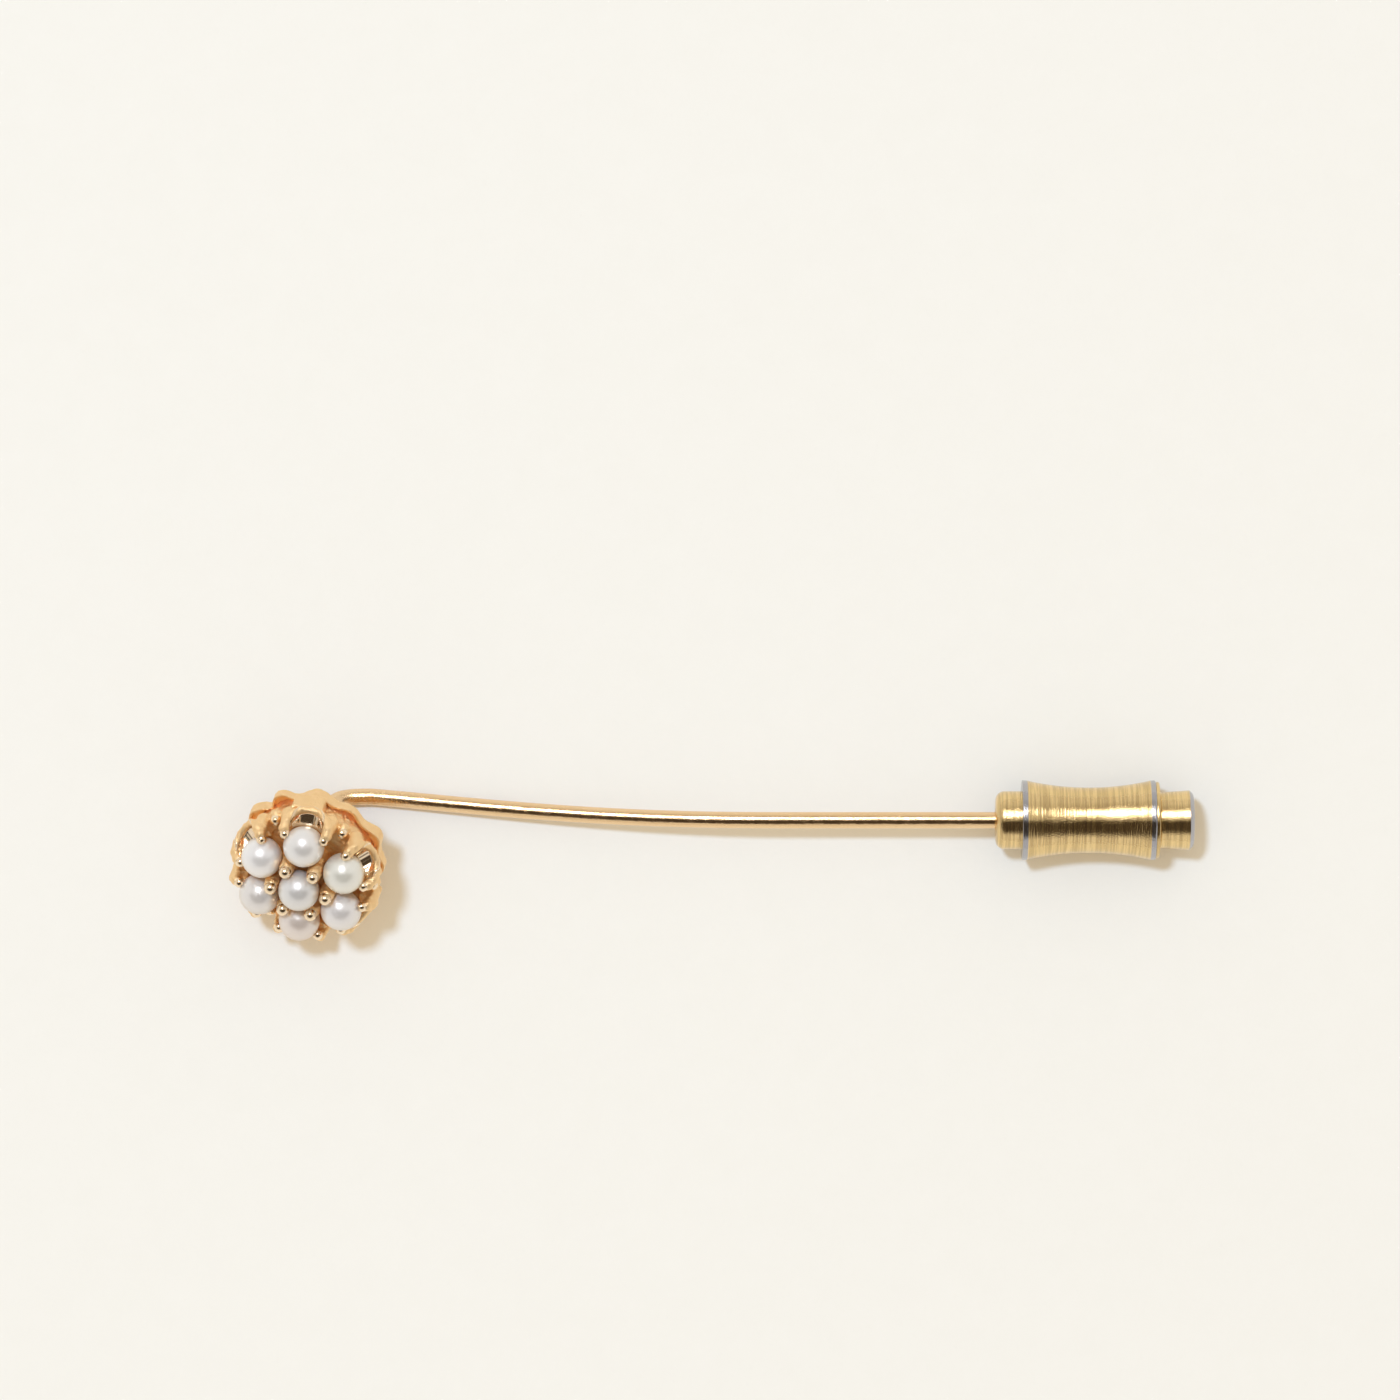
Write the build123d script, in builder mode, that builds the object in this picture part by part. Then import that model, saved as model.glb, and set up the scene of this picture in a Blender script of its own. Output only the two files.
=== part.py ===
from build123d import *

import os
from math import cos, pi, radians, sin, tan

# A hat pin: a cluster of seven pearls on a bent gold wire, with a ball-lock clutch on its point.
# The straight shank lies on the X axis and points along +X. The origin is the middle of its bare run.

# ---------- driving dimensions, in millimetres and degrees ----------

# Pin wire
WIRE_RADIUS = 0.5
SHANK_START_X = -4.7
SHANK_END_X = 7.7
TAPER_END_X = 16.8
TAPER_END_RADIUS = 0.45
POINT_X = 19.1
POINT_RADIUS = 0.08

# Clutch, with its lengths counted from the nose towards the knob
NOSE_X = 8.2
NOSE_RADIUS = 1.76
NOSE_LENGTH = 1.6
NOSE_ROUNDING = 0.55
WIRE_PASSAGE_RADIUS = 0.58
PASSAGE_LENGTH = 0.9
HOUSING_RADIUS = 1.6
CHAMBER_RADIUS = 1.35
PASSAGE_LEAD = 0.15
CONE_HALF_ANGLE = 15
SLEEVE_END = 9.7
SLEEVE_RIM_RADIUS = 2.43
SLEEVE_WAIST_RADIUS = 1.98
RIM_LAND = 0.32
RIM_EDGE = 0.07
RIM_FALL = 0.03
CAP_PLUG_START = 8.9
CAP_LIP_END = 9.92
CAP_LIP_RADIUS = 2.33
CAP_LIP_ROUNDING = 0.13
CAP_BORE_RADIUS = 0.9
KNOB_START = 9.96
KNOB_END = 12.0
KNOB_FRONT_RADIUS = 1.695
KNOB_TAIL_RADIUS = 1.81
KNOB_CHAMFER = 0.24
KNOB_EDGE = 0.05
BALL_RADIUS = 0.3
BALL_STATION = 2.8
BALL_COUNT = 3
FIRST_BALL_ANGLE = 90
BALL_HOLE_GAP = 0.02
TOUCH_GAP = 0.005
CAGE_BORE_RADIUS = 0.56
CAGE_NOSE_RADIUS = 0.9
CAGE_NOSE_LENGTH = 0.48
CAGE_TAIL_RADIUS = 0.85
CAGE_TAIL_END = 11.35
FLANGE_START = 3.75
FLANGE_THICKNESS = 0.3
FLANGE_RADIUS = 1.28
SPRING_WIRE_RADIUS = 0.08
SPRING_RADIUS = 1.08
SPRING_COILS = 6
SPRING_END_GAP = 0.01

# Head, drawn flat with its face towards +Z and the ring of pearls in the plane Z = 0
HEAD_X = -33.69
HEAD_Y = -3.77
HEAD_TILT = 39.8
HEAD_LEAN = 251.2
HEAD_TURN = 40.1
PEARL_RADIUS = 1.25
PEARL_RING_RADIUS = 2.92
PEARL_COUNT = 6
CENTRE_PEARL_RAISE = 0.66
CUP_GAP = 0.01
LOBE_MEAN_RADIUS = 4.36
LOBE_SWELL = 0.09
LOBE_RIPPLE = 0.23
OUTLINE_POINTS = 72
WALL_TOP = -0.6
FLOOR_TOP = -1.2
TIER_BOTTOM = -1.75
RAIL_TOP = -2.6
RAIL_BOTTOM = -3.58
SKIRT_RADIUS = 3.95
SKIRT_BORE_RADIUS = 3.4
WELL_RADIUS = 3.5
BACK_HOLE_RADIUS = 0.6
SEAT_HOLE_REACH = 2.6
INNER_PRONG_REACH = 1.7
INNER_PRONG_RADIUS = 0.41
INNER_BEAD_RADIUS = 0.44
INNER_BEAD_HEIGHT = 0.98
OUTER_PRONG_RADIUS = 0.34
OUTER_BEAD_RADIUS = 0.4
OUTER_PRONG_SPREAD = 17.9
OUTER_PRONG_FOOT = (4.31, -1.45)
OUTER_PRONG_BELLY = (4.38, -0.82)
OUTER_BEAD_REACH = 3.93
OUTER_BEAD_HEIGHT = 0.12
JUNCTION_REACH = 4.13
JUNCTION_RADIUS = 0.38
JUNCTION_HEIGHT = -1.4
GAP_WIDTH = 1.0
GAP_DEPTH = 0.85
NOTCH_RADIUS = 0.88
NOTCH_REACH = 3.1
NOTCH_HEIGHT = 0.28
NOTCH_FALL = 25
BRIDGE_COUNT = 3
BRIDGE_WIDTH = 1.7
BRIDGE_THICKNESS = 0.62
SCALLOP_RADIUS = 2.2
SCALLOP_DEPTH = 0.2
BAR_WIDTH = 1.9
BAR_TOP = -2.6
BAR_BOTTOM = -3.35
WIRE_OFFSET = 0.8
ROOT_LENGTH = 2.0
ELBOW_X = -29.9
ELBOW_Y = 1.4
ELBOW_PULL = 2.4
SWAY_PULLS = ((1.1, 0, 0), (9.0, -0.93, 0), (14.6, -1.34, 1.18))
SHANK_PULL = 4.8

# ---------- places worked out from the dimensions ----------

TABLE_Z = -SLEEVE_RIM_RADIUS
LOBE_RADIUS = LOBE_MEAN_RADIUS + LOBE_SWELL + LOBE_RIPPLE
PEARL_STEP = 360 / PEARL_COUNT

# The head lies back on the lowest edge of its rail.
HEAD_Z = TABLE_Z - RAIL_BOTTOM * cos(radians(HEAD_TILT)) + LOBE_RADIUS * sin(radians(HEAD_TILT))
face_normal = Vector(
    sin(radians(HEAD_TILT)) * cos(radians(HEAD_LEAN)),
    sin(radians(HEAD_TILT)) * sin(radians(HEAD_LEAN)),
    cos(radians(HEAD_TILT)),
)
face_up = (Vector(0, 0, 1) - face_normal * face_normal.Z).normalized()
face_right = face_up.cross(face_normal)
head_plane = Plane(
    origin=(HEAD_X, HEAD_Y, HEAD_Z),
    x_dir=face_right * cos(radians(HEAD_TURN)) + face_up * sin(radians(HEAD_TURN)),
    z_dir=face_normal,
)
head_place = Location(head_plane)

# The bar and the wire's root are turned so that they follow the slope of the lying head.
head_flat = Plane(
    origin=(0, 0, 0),
    x_dir=(cos(radians(HEAD_TURN)), -sin(radians(HEAD_TURN)), 0),
    z_dir=(0, 0, 1),
)
wire_seat = (WIRE_OFFSET * sin(radians(HEAD_TURN)), WIRE_OFFSET * cos(radians(HEAD_TURN)))

# The ball sits between the wire's taper and the housing's cone.
ball_x = NOSE_X + BALL_STATION
clutch_plane = Plane(origin=(NOSE_X, 0, 0), x_dir=(1, 0, 0), z_dir=(0, -1, 0))
taper_slope = (WIRE_RADIUS - TAPER_END_RADIUS) / (TAPER_END_X - SHANK_END_X)
wire_radius_at_ball = WIRE_RADIUS - taper_slope * (ball_x - SHANK_END_X)
BALL_ORBIT = wire_radius_at_ball + BALL_RADIUS + TOUCH_GAP
cone_slope = tan(radians(CONE_HALF_ANGLE))
cone_radius_at_ball = BALL_ORBIT + (BALL_RADIUS + TOUCH_GAP) / cos(radians(CONE_HALF_ANGLE))
cone_start_radius = cone_radius_at_ball - (BALL_STATION - PASSAGE_LENGTH) * cone_slope
cone_end = BALL_STATION + (CHAMBER_RADIUS - cone_radius_at_ball) / cone_slope

os.makedirs("parts", exist_ok=True)


def lobed_outline():
    """Points of the head's outline, with a wide lobe at each pearl and a small one between pearls."""
    points = []
    for step in range(OUTLINE_POINTS):
        angle = 2 * pi * step / OUTLINE_POINTS
        radius = (
            LOBE_MEAN_RADIUS
            + LOBE_SWELL * cos(PEARL_COUNT * angle)
            + LOBE_RIPPLE * cos(2 * PEARL_COUNT * angle)
        )
        points.append((radius * cos(angle), radius * sin(angle)))
    return points


def radial_plane(angle, reach, height=0, fall=0):
    """A plane facing outward from the head's axis at this angle, and downward by the fall in degrees."""
    outward = Vector(cos(radians(angle)), sin(radians(angle)), 0)
    down = Vector(0, 0, -1)
    return Plane(
        origin=outward * reach - down * height,
        x_dir=(-outward.Y, outward.X, 0),
        z_dir=outward * cos(radians(fall)) + down * sin(radians(fall)),
    )


def ball_plane(index):
    """The plane on the wire's axis that faces outward through one lock ball."""
    angle = radians(FIRST_BALL_ANGLE + 360 * index / BALL_COUNT)
    return Plane(origin=(ball_x, 0, 0), x_dir=(1, 0, 0), z_dir=(0, cos(angle), sin(angle)))


# ---------- head: upper tier ----------

with BuildPart() as outer_prong:
    with BuildLine(Plane.XZ) as prong_path:
        Spline(OUTER_PRONG_FOOT, OUTER_PRONG_BELLY, (OUTER_BEAD_REACH, OUTER_BEAD_HEIGHT))
    with BuildSketch(Plane(origin=prong_path.line @ 0, z_dir=prong_path.line % 0)):
        Circle(OUTER_PRONG_RADIUS)
    sweep()
    with Locations((OUTER_BEAD_REACH, 0, OUTER_BEAD_HEIGHT)):
        Sphere(OUTER_BEAD_RADIUS)

with BuildPart() as crown:
    with BuildSketch(Plane.XY.offset(TIER_BOTTOM)):
        with BuildLine():
            Spline(*lobed_outline(), periodic=True)
        make_face()
    extrude(amount=WALL_TOP - TIER_BOTTOM)
    with BuildSketch(Plane.XY.offset(FLOOR_TOP)):
        Circle(WELL_RADIUS)
    extrude(amount=WALL_TOP - FLOOR_TOP, mode=Mode.SUBTRACT)
    with BuildSketch(Plane.XY.offset(RAIL_BOTTOM)):
        Circle(SKIRT_RADIUS)
        Circle(SKIRT_BORE_RADIUS, mode=Mode.SUBTRACT)
    extrude(amount=TIER_BOTTOM - RAIL_BOTTOM)
    # The bridges carry the rail below every second pearl.
    with BuildSketch(Plane.XY.offset(RAIL_TOP)):
        with PolarLocations(LOBE_MEAN_RADIUS, BRIDGE_COUNT, start_angle=PEARL_STEP):
            Rectangle(BRIDGE_THICKNESS, BRIDGE_WIDTH)
    extrude(amount=TIER_BOTTOM - RAIL_TOP)
    # Sloping bright-cut notches open the wall in front of each pearl, and small gaps between pearls.
    for index in range(PEARL_COUNT):
        with BuildSketch(radial_plane(PEARL_STEP * index, NOTCH_REACH, NOTCH_HEIGHT, NOTCH_FALL)):
            Circle(NOTCH_RADIUS)
        extrude(amount=LOBE_RADIUS, mode=Mode.SUBTRACT)
        with BuildSketch(radial_plane(PEARL_STEP * (index + 0.5), SKIRT_BORE_RADIUS)):
            with Locations((0, WALL_TOP)):
                Rectangle(GAP_WIDTH, 2 * GAP_DEPTH)
        extrude(amount=LOBE_RADIUS, mode=Mode.SUBTRACT)
    with PolarLocations(0, PEARL_COUNT, start_angle=OUTER_PRONG_SPREAD):
        add(outer_prong.part)
    with PolarLocations(0, PEARL_COUNT, start_angle=-OUTER_PRONG_SPREAD):
        add(outer_prong.part)
    # A short bead stands at the rim between every two pearls.
    with BuildSketch(Plane.XY.offset(TIER_BOTTOM)):
        with PolarLocations(JUNCTION_REACH, PEARL_COUNT, start_angle=PEARL_STEP / 2):
            Circle(JUNCTION_RADIUS)
    extrude(amount=JUNCTION_HEIGHT - TIER_BOTTOM)
    with PolarLocations(JUNCTION_REACH, PEARL_COUNT, start_angle=PEARL_STEP / 2):
        with Locations((0, 0, JUNCTION_HEIGHT)):
            Sphere(JUNCTION_RADIUS)
    # The inner prongs fill the gaps between three pearls and end in beads.
    with BuildSketch(Plane.XY.offset(TIER_BOTTOM)):
        with PolarLocations(INNER_PRONG_REACH, PEARL_COUNT, start_angle=PEARL_STEP / 2):
            Circle(INNER_PRONG_RADIUS)
    extrude(amount=INNER_BEAD_HEIGHT - TIER_BOTTOM)
    with PolarLocations(INNER_PRONG_REACH, PEARL_COUNT, start_angle=PEARL_STEP / 2):
        with Locations((0, 0, INNER_BEAD_HEIGHT)):
            Sphere(INNER_BEAD_RADIUS)
    # The pearls' seats and the holes behind them.
    with Locations((0, 0, CENTRE_PEARL_RAISE)):
        Sphere(PEARL_RADIUS + CUP_GAP, mode=Mode.SUBTRACT)
    with PolarLocations(PEARL_RING_RADIUS, PEARL_COUNT):
        Sphere(PEARL_RADIUS + CUP_GAP, mode=Mode.SUBTRACT)
    with BuildSketch(Plane.XY.offset(TIER_BOTTOM)):
        Circle(BACK_HOLE_RADIUS)
        with PolarLocations(SEAT_HOLE_REACH, PEARL_COUNT):
            Circle(BACK_HOLE_RADIUS)
    extrude(amount=-TIER_BOTTOM, mode=Mode.SUBTRACT)
crown.part.locate(head_place)
crown.part.label = "crown"
export_step(crown.part, "parts/crown.step")


# ---------- head: lower tier ----------

with BuildPart() as gallery_rail:
    with BuildSketch(Plane.XY.offset(RAIL_BOTTOM)):
        with BuildLine():
            Spline(*lobed_outline(), periodic=True)
        make_face()
        Circle(SKIRT_RADIUS, mode=Mode.SUBTRACT)
    extrude(amount=RAIL_TOP - RAIL_BOTTOM)
    # Shallow hollows give the rail its wavy upper edge, between the pearls.
    for index in range(PEARL_COUNT):
        with BuildSketch(radial_plane(PEARL_STEP * (index + 0.5), SKIRT_BORE_RADIUS)):
            with Locations((0, RAIL_TOP + SCALLOP_RADIUS - SCALLOP_DEPTH)):
                Circle(SCALLOP_RADIUS)
        extrude(amount=LOBE_RADIUS, mode=Mode.SUBTRACT)
gallery_rail.part.locate(head_place)
gallery_rail.part.label = "gallery_rail"
export_step(gallery_rail.part, "parts/gallery_rail.step")

with BuildPart() as back_bar:
    with BuildSketch(head_flat.offset(BAR_BOTTOM)):
        Circle(SKIRT_BORE_RADIUS)
        with Locations((0, WIRE_OFFSET)):
            Rectangle(2 * SKIRT_RADIUS, BAR_WIDTH, mode=Mode.INTERSECT)
        with Locations((0, WIRE_OFFSET)):
            Circle(WIRE_RADIUS, mode=Mode.SUBTRACT)
    extrude(amount=BAR_TOP - BAR_BOTTOM)
back_bar.part.locate(head_place)
back_bar.part.label = "back_bar"
export_step(back_bar.part, "parts/back_bar.step")


# ---------- pearls ----------

with BuildPart() as pearl_centre:
    with Locations((0, 0, CENTRE_PEARL_RAISE)):
        Sphere(PEARL_RADIUS)
pearl_centre.part.locate(head_place)
pearl_centre.part.label = "pearl_centre"
export_step(pearl_centre.part, "parts/pearl_centre.step")

for index in range(PEARL_COUNT):
    with BuildPart() as pearl:
        with PolarLocations(PEARL_RING_RADIUS, 1, start_angle=PEARL_STEP * index):
            Sphere(PEARL_RADIUS)
    pearl.part.locate(head_place)
    pearl.part.label = f"pearl_{index + 1}"
    export_step(pearl.part, f"parts/pearl_{index + 1}.step")


# ---------- pin wire ----------

# The wire leaves the back of the head square to it, bends over the table and runs to the shank.
wire_root = head_plane.from_local_coords((*wire_seat, BAR_TOP))
elbow_end = Vector(ELBOW_X, ELBOW_Y, TABLE_Z + WIRE_RADIUS)
sway_points = [elbow_end + Vector(*pull) for pull in SWAY_PULLS]
with BuildPart() as pin_wire:
    with BuildLine() as bent_path:
        straight_root = Line(wire_root, wire_root - face_normal * ROOT_LENGTH)
        Bezier(
            straight_root @ 1,
            straight_root @ 1 - face_normal * ELBOW_PULL,
            elbow_end - Vector(ELBOW_PULL, 0, 0),
            elbow_end,
        )
        Bezier(
            elbow_end,
            *sway_points,
            (SHANK_START_X - SHANK_PULL, 0, 0),
            (SHANK_START_X, 0, 0),
        )
    with BuildSketch(Plane(origin=wire_root, z_dir=-face_normal)):
        Circle(WIRE_RADIUS)
    sweep(path=bent_path.line)
    with BuildSketch(Plane.XZ):
        with BuildLine():
            Polyline(
                (SHANK_START_X, 0),
                (SHANK_START_X, WIRE_RADIUS),
                (SHANK_END_X, WIRE_RADIUS),
                (TAPER_END_X, TAPER_END_RADIUS),
                (POINT_X, POINT_RADIUS),
                (POINT_X, 0),
                close=True,
            )
        make_face()
    revolve(axis=Axis.X)
pin_wire.part.label = "pin_wire"
export_step(pin_wire.part, "parts/pin_wire.step")


# ---------- clutch ----------

with BuildPart() as clutch_housing:
    with BuildSketch(clutch_plane):
        with BuildLine():
            Polyline(
                (0, WIRE_PASSAGE_RADIUS + PASSAGE_LEAD),
                (0, NOSE_RADIUS - NOSE_ROUNDING),
            )
            RadiusArc(
                (0, NOSE_RADIUS - NOSE_ROUNDING),
                (NOSE_ROUNDING, NOSE_RADIUS),
                NOSE_ROUNDING,
            )
            Polyline(
                (NOSE_ROUNDING, NOSE_RADIUS),
                (NOSE_LENGTH, NOSE_RADIUS),
                (NOSE_LENGTH, HOUSING_RADIUS),
                (SLEEVE_END, HOUSING_RADIUS),
                (SLEEVE_END, CHAMBER_RADIUS),
                (cone_end, CHAMBER_RADIUS),
                (PASSAGE_LENGTH, cone_start_radius),
                (PASSAGE_LENGTH, WIRE_PASSAGE_RADIUS),
                (PASSAGE_LEAD, WIRE_PASSAGE_RADIUS),
                (0, WIRE_PASSAGE_RADIUS + PASSAGE_LEAD),
            )
        make_face()
    revolve(axis=Axis.X)
clutch_housing.part.label = "clutch_housing"
export_step(clutch_housing.part, "parts/clutch_housing.step")

with BuildPart() as grip_sleeve:
    with BuildSketch(clutch_plane):
        with BuildLine():
            Polyline(
                (NOSE_LENGTH + RIM_LAND, SLEEVE_RIM_RADIUS - RIM_FALL),
                (NOSE_LENGTH + RIM_EDGE, SLEEVE_RIM_RADIUS),
                (NOSE_LENGTH, SLEEVE_RIM_RADIUS - RIM_EDGE),
                (NOSE_LENGTH, HOUSING_RADIUS),
                (SLEEVE_END, HOUSING_RADIUS),
                (SLEEVE_END, SLEEVE_RIM_RADIUS - RIM_EDGE),
                (SLEEVE_END - RIM_EDGE, SLEEVE_RIM_RADIUS),
                (SLEEVE_END - RIM_LAND, SLEEVE_RIM_RADIUS - RIM_FALL),
            )
            ThreePointArc(
                (SLEEVE_END - RIM_LAND, SLEEVE_RIM_RADIUS - RIM_FALL),
                ((NOSE_LENGTH + SLEEVE_END) / 2, SLEEVE_WAIST_RADIUS),
                (NOSE_LENGTH + RIM_LAND, SLEEVE_RIM_RADIUS - RIM_FALL),
            )
        make_face()
    revolve(axis=Axis.X)
grip_sleeve.part.label = "grip_sleeve"
export_step(grip_sleeve.part, "parts/grip_sleeve.step")

with BuildPart() as rear_cap:
    with BuildSketch(clutch_plane):
        with BuildLine():
            Polyline(
                (CAP_PLUG_START, CAP_BORE_RADIUS),
                (CAP_PLUG_START, CHAMBER_RADIUS),
                (SLEEVE_END, CHAMBER_RADIUS),
                (SLEEVE_END, CAP_LIP_RADIUS - CAP_LIP_ROUNDING),
            )
            ThreePointArc(
                (SLEEVE_END, CAP_LIP_RADIUS - CAP_LIP_ROUNDING),
                ((SLEEVE_END + CAP_LIP_END) / 2, CAP_LIP_RADIUS),
                (CAP_LIP_END, CAP_LIP_RADIUS - CAP_LIP_ROUNDING),
            )
            Polyline(
                (CAP_LIP_END, CAP_LIP_RADIUS - CAP_LIP_ROUNDING),
                (CAP_LIP_END, CAP_BORE_RADIUS),
                (CAP_PLUG_START, CAP_BORE_RADIUS),
            )
        make_face()
    revolve(axis=Axis.X)
rear_cap.part.label = "rear_cap"
export_step(rear_cap.part, "parts/rear_cap.step")

with BuildPart() as ball_cage:
    with BuildSketch(clutch_plane):
        with BuildLine():
            Polyline(
                (BALL_STATION - CAGE_NOSE_LENGTH, CAGE_BORE_RADIUS),
                (BALL_STATION - CAGE_NOSE_LENGTH, CAGE_NOSE_RADIUS),
                (FLANGE_START, CAGE_NOSE_RADIUS),
                (FLANGE_START, FLANGE_RADIUS),
                (FLANGE_START + FLANGE_THICKNESS, FLANGE_RADIUS),
                (FLANGE_START + FLANGE_THICKNESS, CAGE_TAIL_RADIUS),
                (CAGE_TAIL_END, CAGE_TAIL_RADIUS),
                (CAGE_TAIL_END, CAGE_BORE_RADIUS),
                close=True,
            )
        make_face()
    revolve(axis=Axis.X)
    # One round hole per ball, square to the wire.
    for index in range(BALL_COUNT):
        with BuildSketch(ball_plane(index)):
            Circle(BALL_RADIUS + BALL_HOLE_GAP)
        extrude(amount=FLANGE_RADIUS, mode=Mode.SUBTRACT)
ball_cage.part.label = "ball_cage"
export_step(ball_cage.part, "parts/ball_cage.step")

for index in range(BALL_COUNT):
    with BuildPart() as lock_ball:
        with Locations(ball_plane(index).offset(BALL_ORBIT)):
            Sphere(BALL_RADIUS)
    lock_ball.part.label = f"lock_ball_{index + 1}"
    export_step(lock_ball.part, f"parts/lock_ball_{index + 1}.step")

with BuildPart() as pull_knob:
    with BuildSketch(clutch_plane):
        with BuildLine():
            Polyline(
                (KNOB_START, CAGE_TAIL_RADIUS),
                (KNOB_START, KNOB_FRONT_RADIUS - KNOB_EDGE),
                (KNOB_START + KNOB_EDGE, KNOB_FRONT_RADIUS),
                (KNOB_END - KNOB_CHAMFER, KNOB_TAIL_RADIUS),
                (KNOB_END, KNOB_TAIL_RADIUS - KNOB_CHAMFER),
                (KNOB_END, 0),
                (CAGE_TAIL_END, 0),
                (CAGE_TAIL_END, CAGE_TAIL_RADIUS),
                close=True,
            )
        make_face()
    revolve(axis=Axis.X)
pull_knob.part.label = "pull_knob"
export_step(pull_knob.part, "parts/pull_knob.step")

spring_start = FLANGE_START + FLANGE_THICKNESS + SPRING_WIRE_RADIUS + SPRING_END_GAP
spring_length = CAP_PLUG_START - SPRING_WIRE_RADIUS - SPRING_END_GAP - spring_start
with BuildPart() as clutch_spring:
    with BuildLine() as coil:
        Helix(
            pitch=spring_length / SPRING_COILS,
            height=spring_length,
            radius=SPRING_RADIUS,
            center=(NOSE_X + spring_start, 0, 0),
            direction=(1, 0, 0),
        )
    with BuildSketch(Plane(origin=coil.line @ 0, z_dir=coil.line % 0)):
        Circle(SPRING_WIRE_RADIUS)
    sweep(is_frenet=True)
clutch_spring.part.label = "clutch_spring"
export_step(clutch_spring.part, "parts/clutch_spring.step")
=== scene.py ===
import math

import bpy
import bmesh
import numpy as np
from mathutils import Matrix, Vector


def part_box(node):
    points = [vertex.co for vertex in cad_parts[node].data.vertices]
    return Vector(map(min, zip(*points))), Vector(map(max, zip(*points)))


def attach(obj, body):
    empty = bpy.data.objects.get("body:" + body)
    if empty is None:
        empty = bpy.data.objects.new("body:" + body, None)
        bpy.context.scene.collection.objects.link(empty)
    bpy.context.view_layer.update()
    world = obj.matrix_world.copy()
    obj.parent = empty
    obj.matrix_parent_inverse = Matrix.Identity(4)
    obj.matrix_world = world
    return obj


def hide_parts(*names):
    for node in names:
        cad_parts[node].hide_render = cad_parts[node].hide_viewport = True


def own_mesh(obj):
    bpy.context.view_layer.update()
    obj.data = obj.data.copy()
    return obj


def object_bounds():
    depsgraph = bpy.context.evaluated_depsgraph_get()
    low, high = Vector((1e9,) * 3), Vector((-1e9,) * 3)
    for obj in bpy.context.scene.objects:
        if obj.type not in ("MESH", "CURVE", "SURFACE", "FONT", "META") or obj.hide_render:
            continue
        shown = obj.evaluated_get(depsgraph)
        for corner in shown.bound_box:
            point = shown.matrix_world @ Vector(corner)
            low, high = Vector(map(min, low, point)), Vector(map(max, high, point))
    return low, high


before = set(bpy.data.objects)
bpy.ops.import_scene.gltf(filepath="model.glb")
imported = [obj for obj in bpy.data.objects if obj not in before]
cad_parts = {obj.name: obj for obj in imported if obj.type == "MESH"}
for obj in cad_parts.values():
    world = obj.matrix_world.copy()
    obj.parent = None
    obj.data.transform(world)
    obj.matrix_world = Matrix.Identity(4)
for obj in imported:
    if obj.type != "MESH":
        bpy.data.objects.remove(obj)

import openvdb
from mathutils import Matrix, Vector

# Looks for a hat pin: a pearl cluster in a cast gold head, a bent gold wire and a turned clutch.
# Shapes are worked out in millimetres and scaled to the frame's metres when a mesh is made.

MM = 0.001
CAD_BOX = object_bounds()
FAR = 3.0  # distance given to empty space in a clay grid, in millimetres
CLAY_STEP = 0.045  # spacing of a clay grid, in millimetres
ON_AXIS = 1e-6  # a radius below this, in millimetres, is a point on the axis
SAME_POINT = 1e-7  # points closer than this, in metres, are one point
PARALLEL = 1e-3  # length of the cross product of two directions that count as one


# ---------- places taken from the frame ----------

def centre_of(node):
    low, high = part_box(node)
    return (low + high) / 2


def size_of(node):
    low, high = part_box(node)
    return (high - low) / MM


RING = [f"pearl_{i}" for i in range(1, 7)]
PEARL_R = size_of("pearl_1").x / 2
TABLE_Z = CAD_BOX[0][2] / MM
NOSE_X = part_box("clutch_housing")[0].x / MM
POINT_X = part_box("pin_wire")[1].x / MM


def head_matrix():
    """The head's own frame: origin amid the pearl ring, +X through pearl 1, +Z out of its face."""
    middle = sum((centre_of(n) for n in RING), Vector()) / len(RING)
    right = (centre_of(RING[0]) - middle).normalized()
    face = right.cross(centre_of(RING[1]) - middle).normalized()
    up = face.cross(right)
    matrix = Matrix((right, up, face)).transposed().to_4x4()
    matrix.translation = middle
    return matrix


HEAD = head_matrix()
FACE = HEAD.to_3x3() @ Vector((0, 0, 1))
RING_R = (centre_of(RING[0]) - HEAD.translation).length / MM
CENTRE_RAISE = (HEAD.inverted() @ centre_of("pearl_centre")).z / MM


# ---------- mesh helpers ----------

def new_piece(name, points, faces, body, nodes):
    """A smooth mesh piece from points in metres, riding on a body and standing for CAD nodes."""
    mesh = bpy.data.meshes.new(name)
    mesh.from_pydata([tuple(p) for p in points], [], [tuple(f) for f in faces])
    mesh.update()
    mesh.shade_smooth()
    piece = bpy.data.objects.new(name, mesh)
    bpy.context.scene.collection.objects.link(piece)
    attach(piece, body)
    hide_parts(*nodes)
    return piece


def to_row(points):
    """Points in the head's frame, in millimetres, to the row frame, in metres."""
    turn = np.array(HEAD.to_3x3())
    return np.asarray(points) * MM @ turn.T + np.array(HEAD.translation)


CORNER_SHARE, CORNER_STEPS = 0.45, 4  # most of a side that an arc takes up, and the steps in an arc


def rounded_profile(corners, radius):
    """A closed outline with an arc at each corner. A third number in a corner is its own radius."""
    out = []
    count = len(corners)
    for i, corner in enumerate(corners):
        here = np.array(corner[:2], float)
        reach = corner[2] if len(corner) > 2 else radius
        before = np.array(corners[i - 1][:2], float) - here
        after = np.array(corners[(i + 1) % count][:2], float) - here
        room = CORNER_SHARE * min(np.linalg.norm(before), np.linalg.norm(after))
        reach = min(reach, room)
        if reach <= 0:
            out.append(here)
            continue
        start = here + before / np.linalg.norm(before) * reach
        end = here + after / np.linalg.norm(after) * reach
        for step in range(CORNER_STEPS + 1):
            t = step / CORNER_STEPS
            out.append((1 - t) ** 2 * start + 2 * t * (1 - t) * here + t ** 2 * end)
    return out


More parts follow.
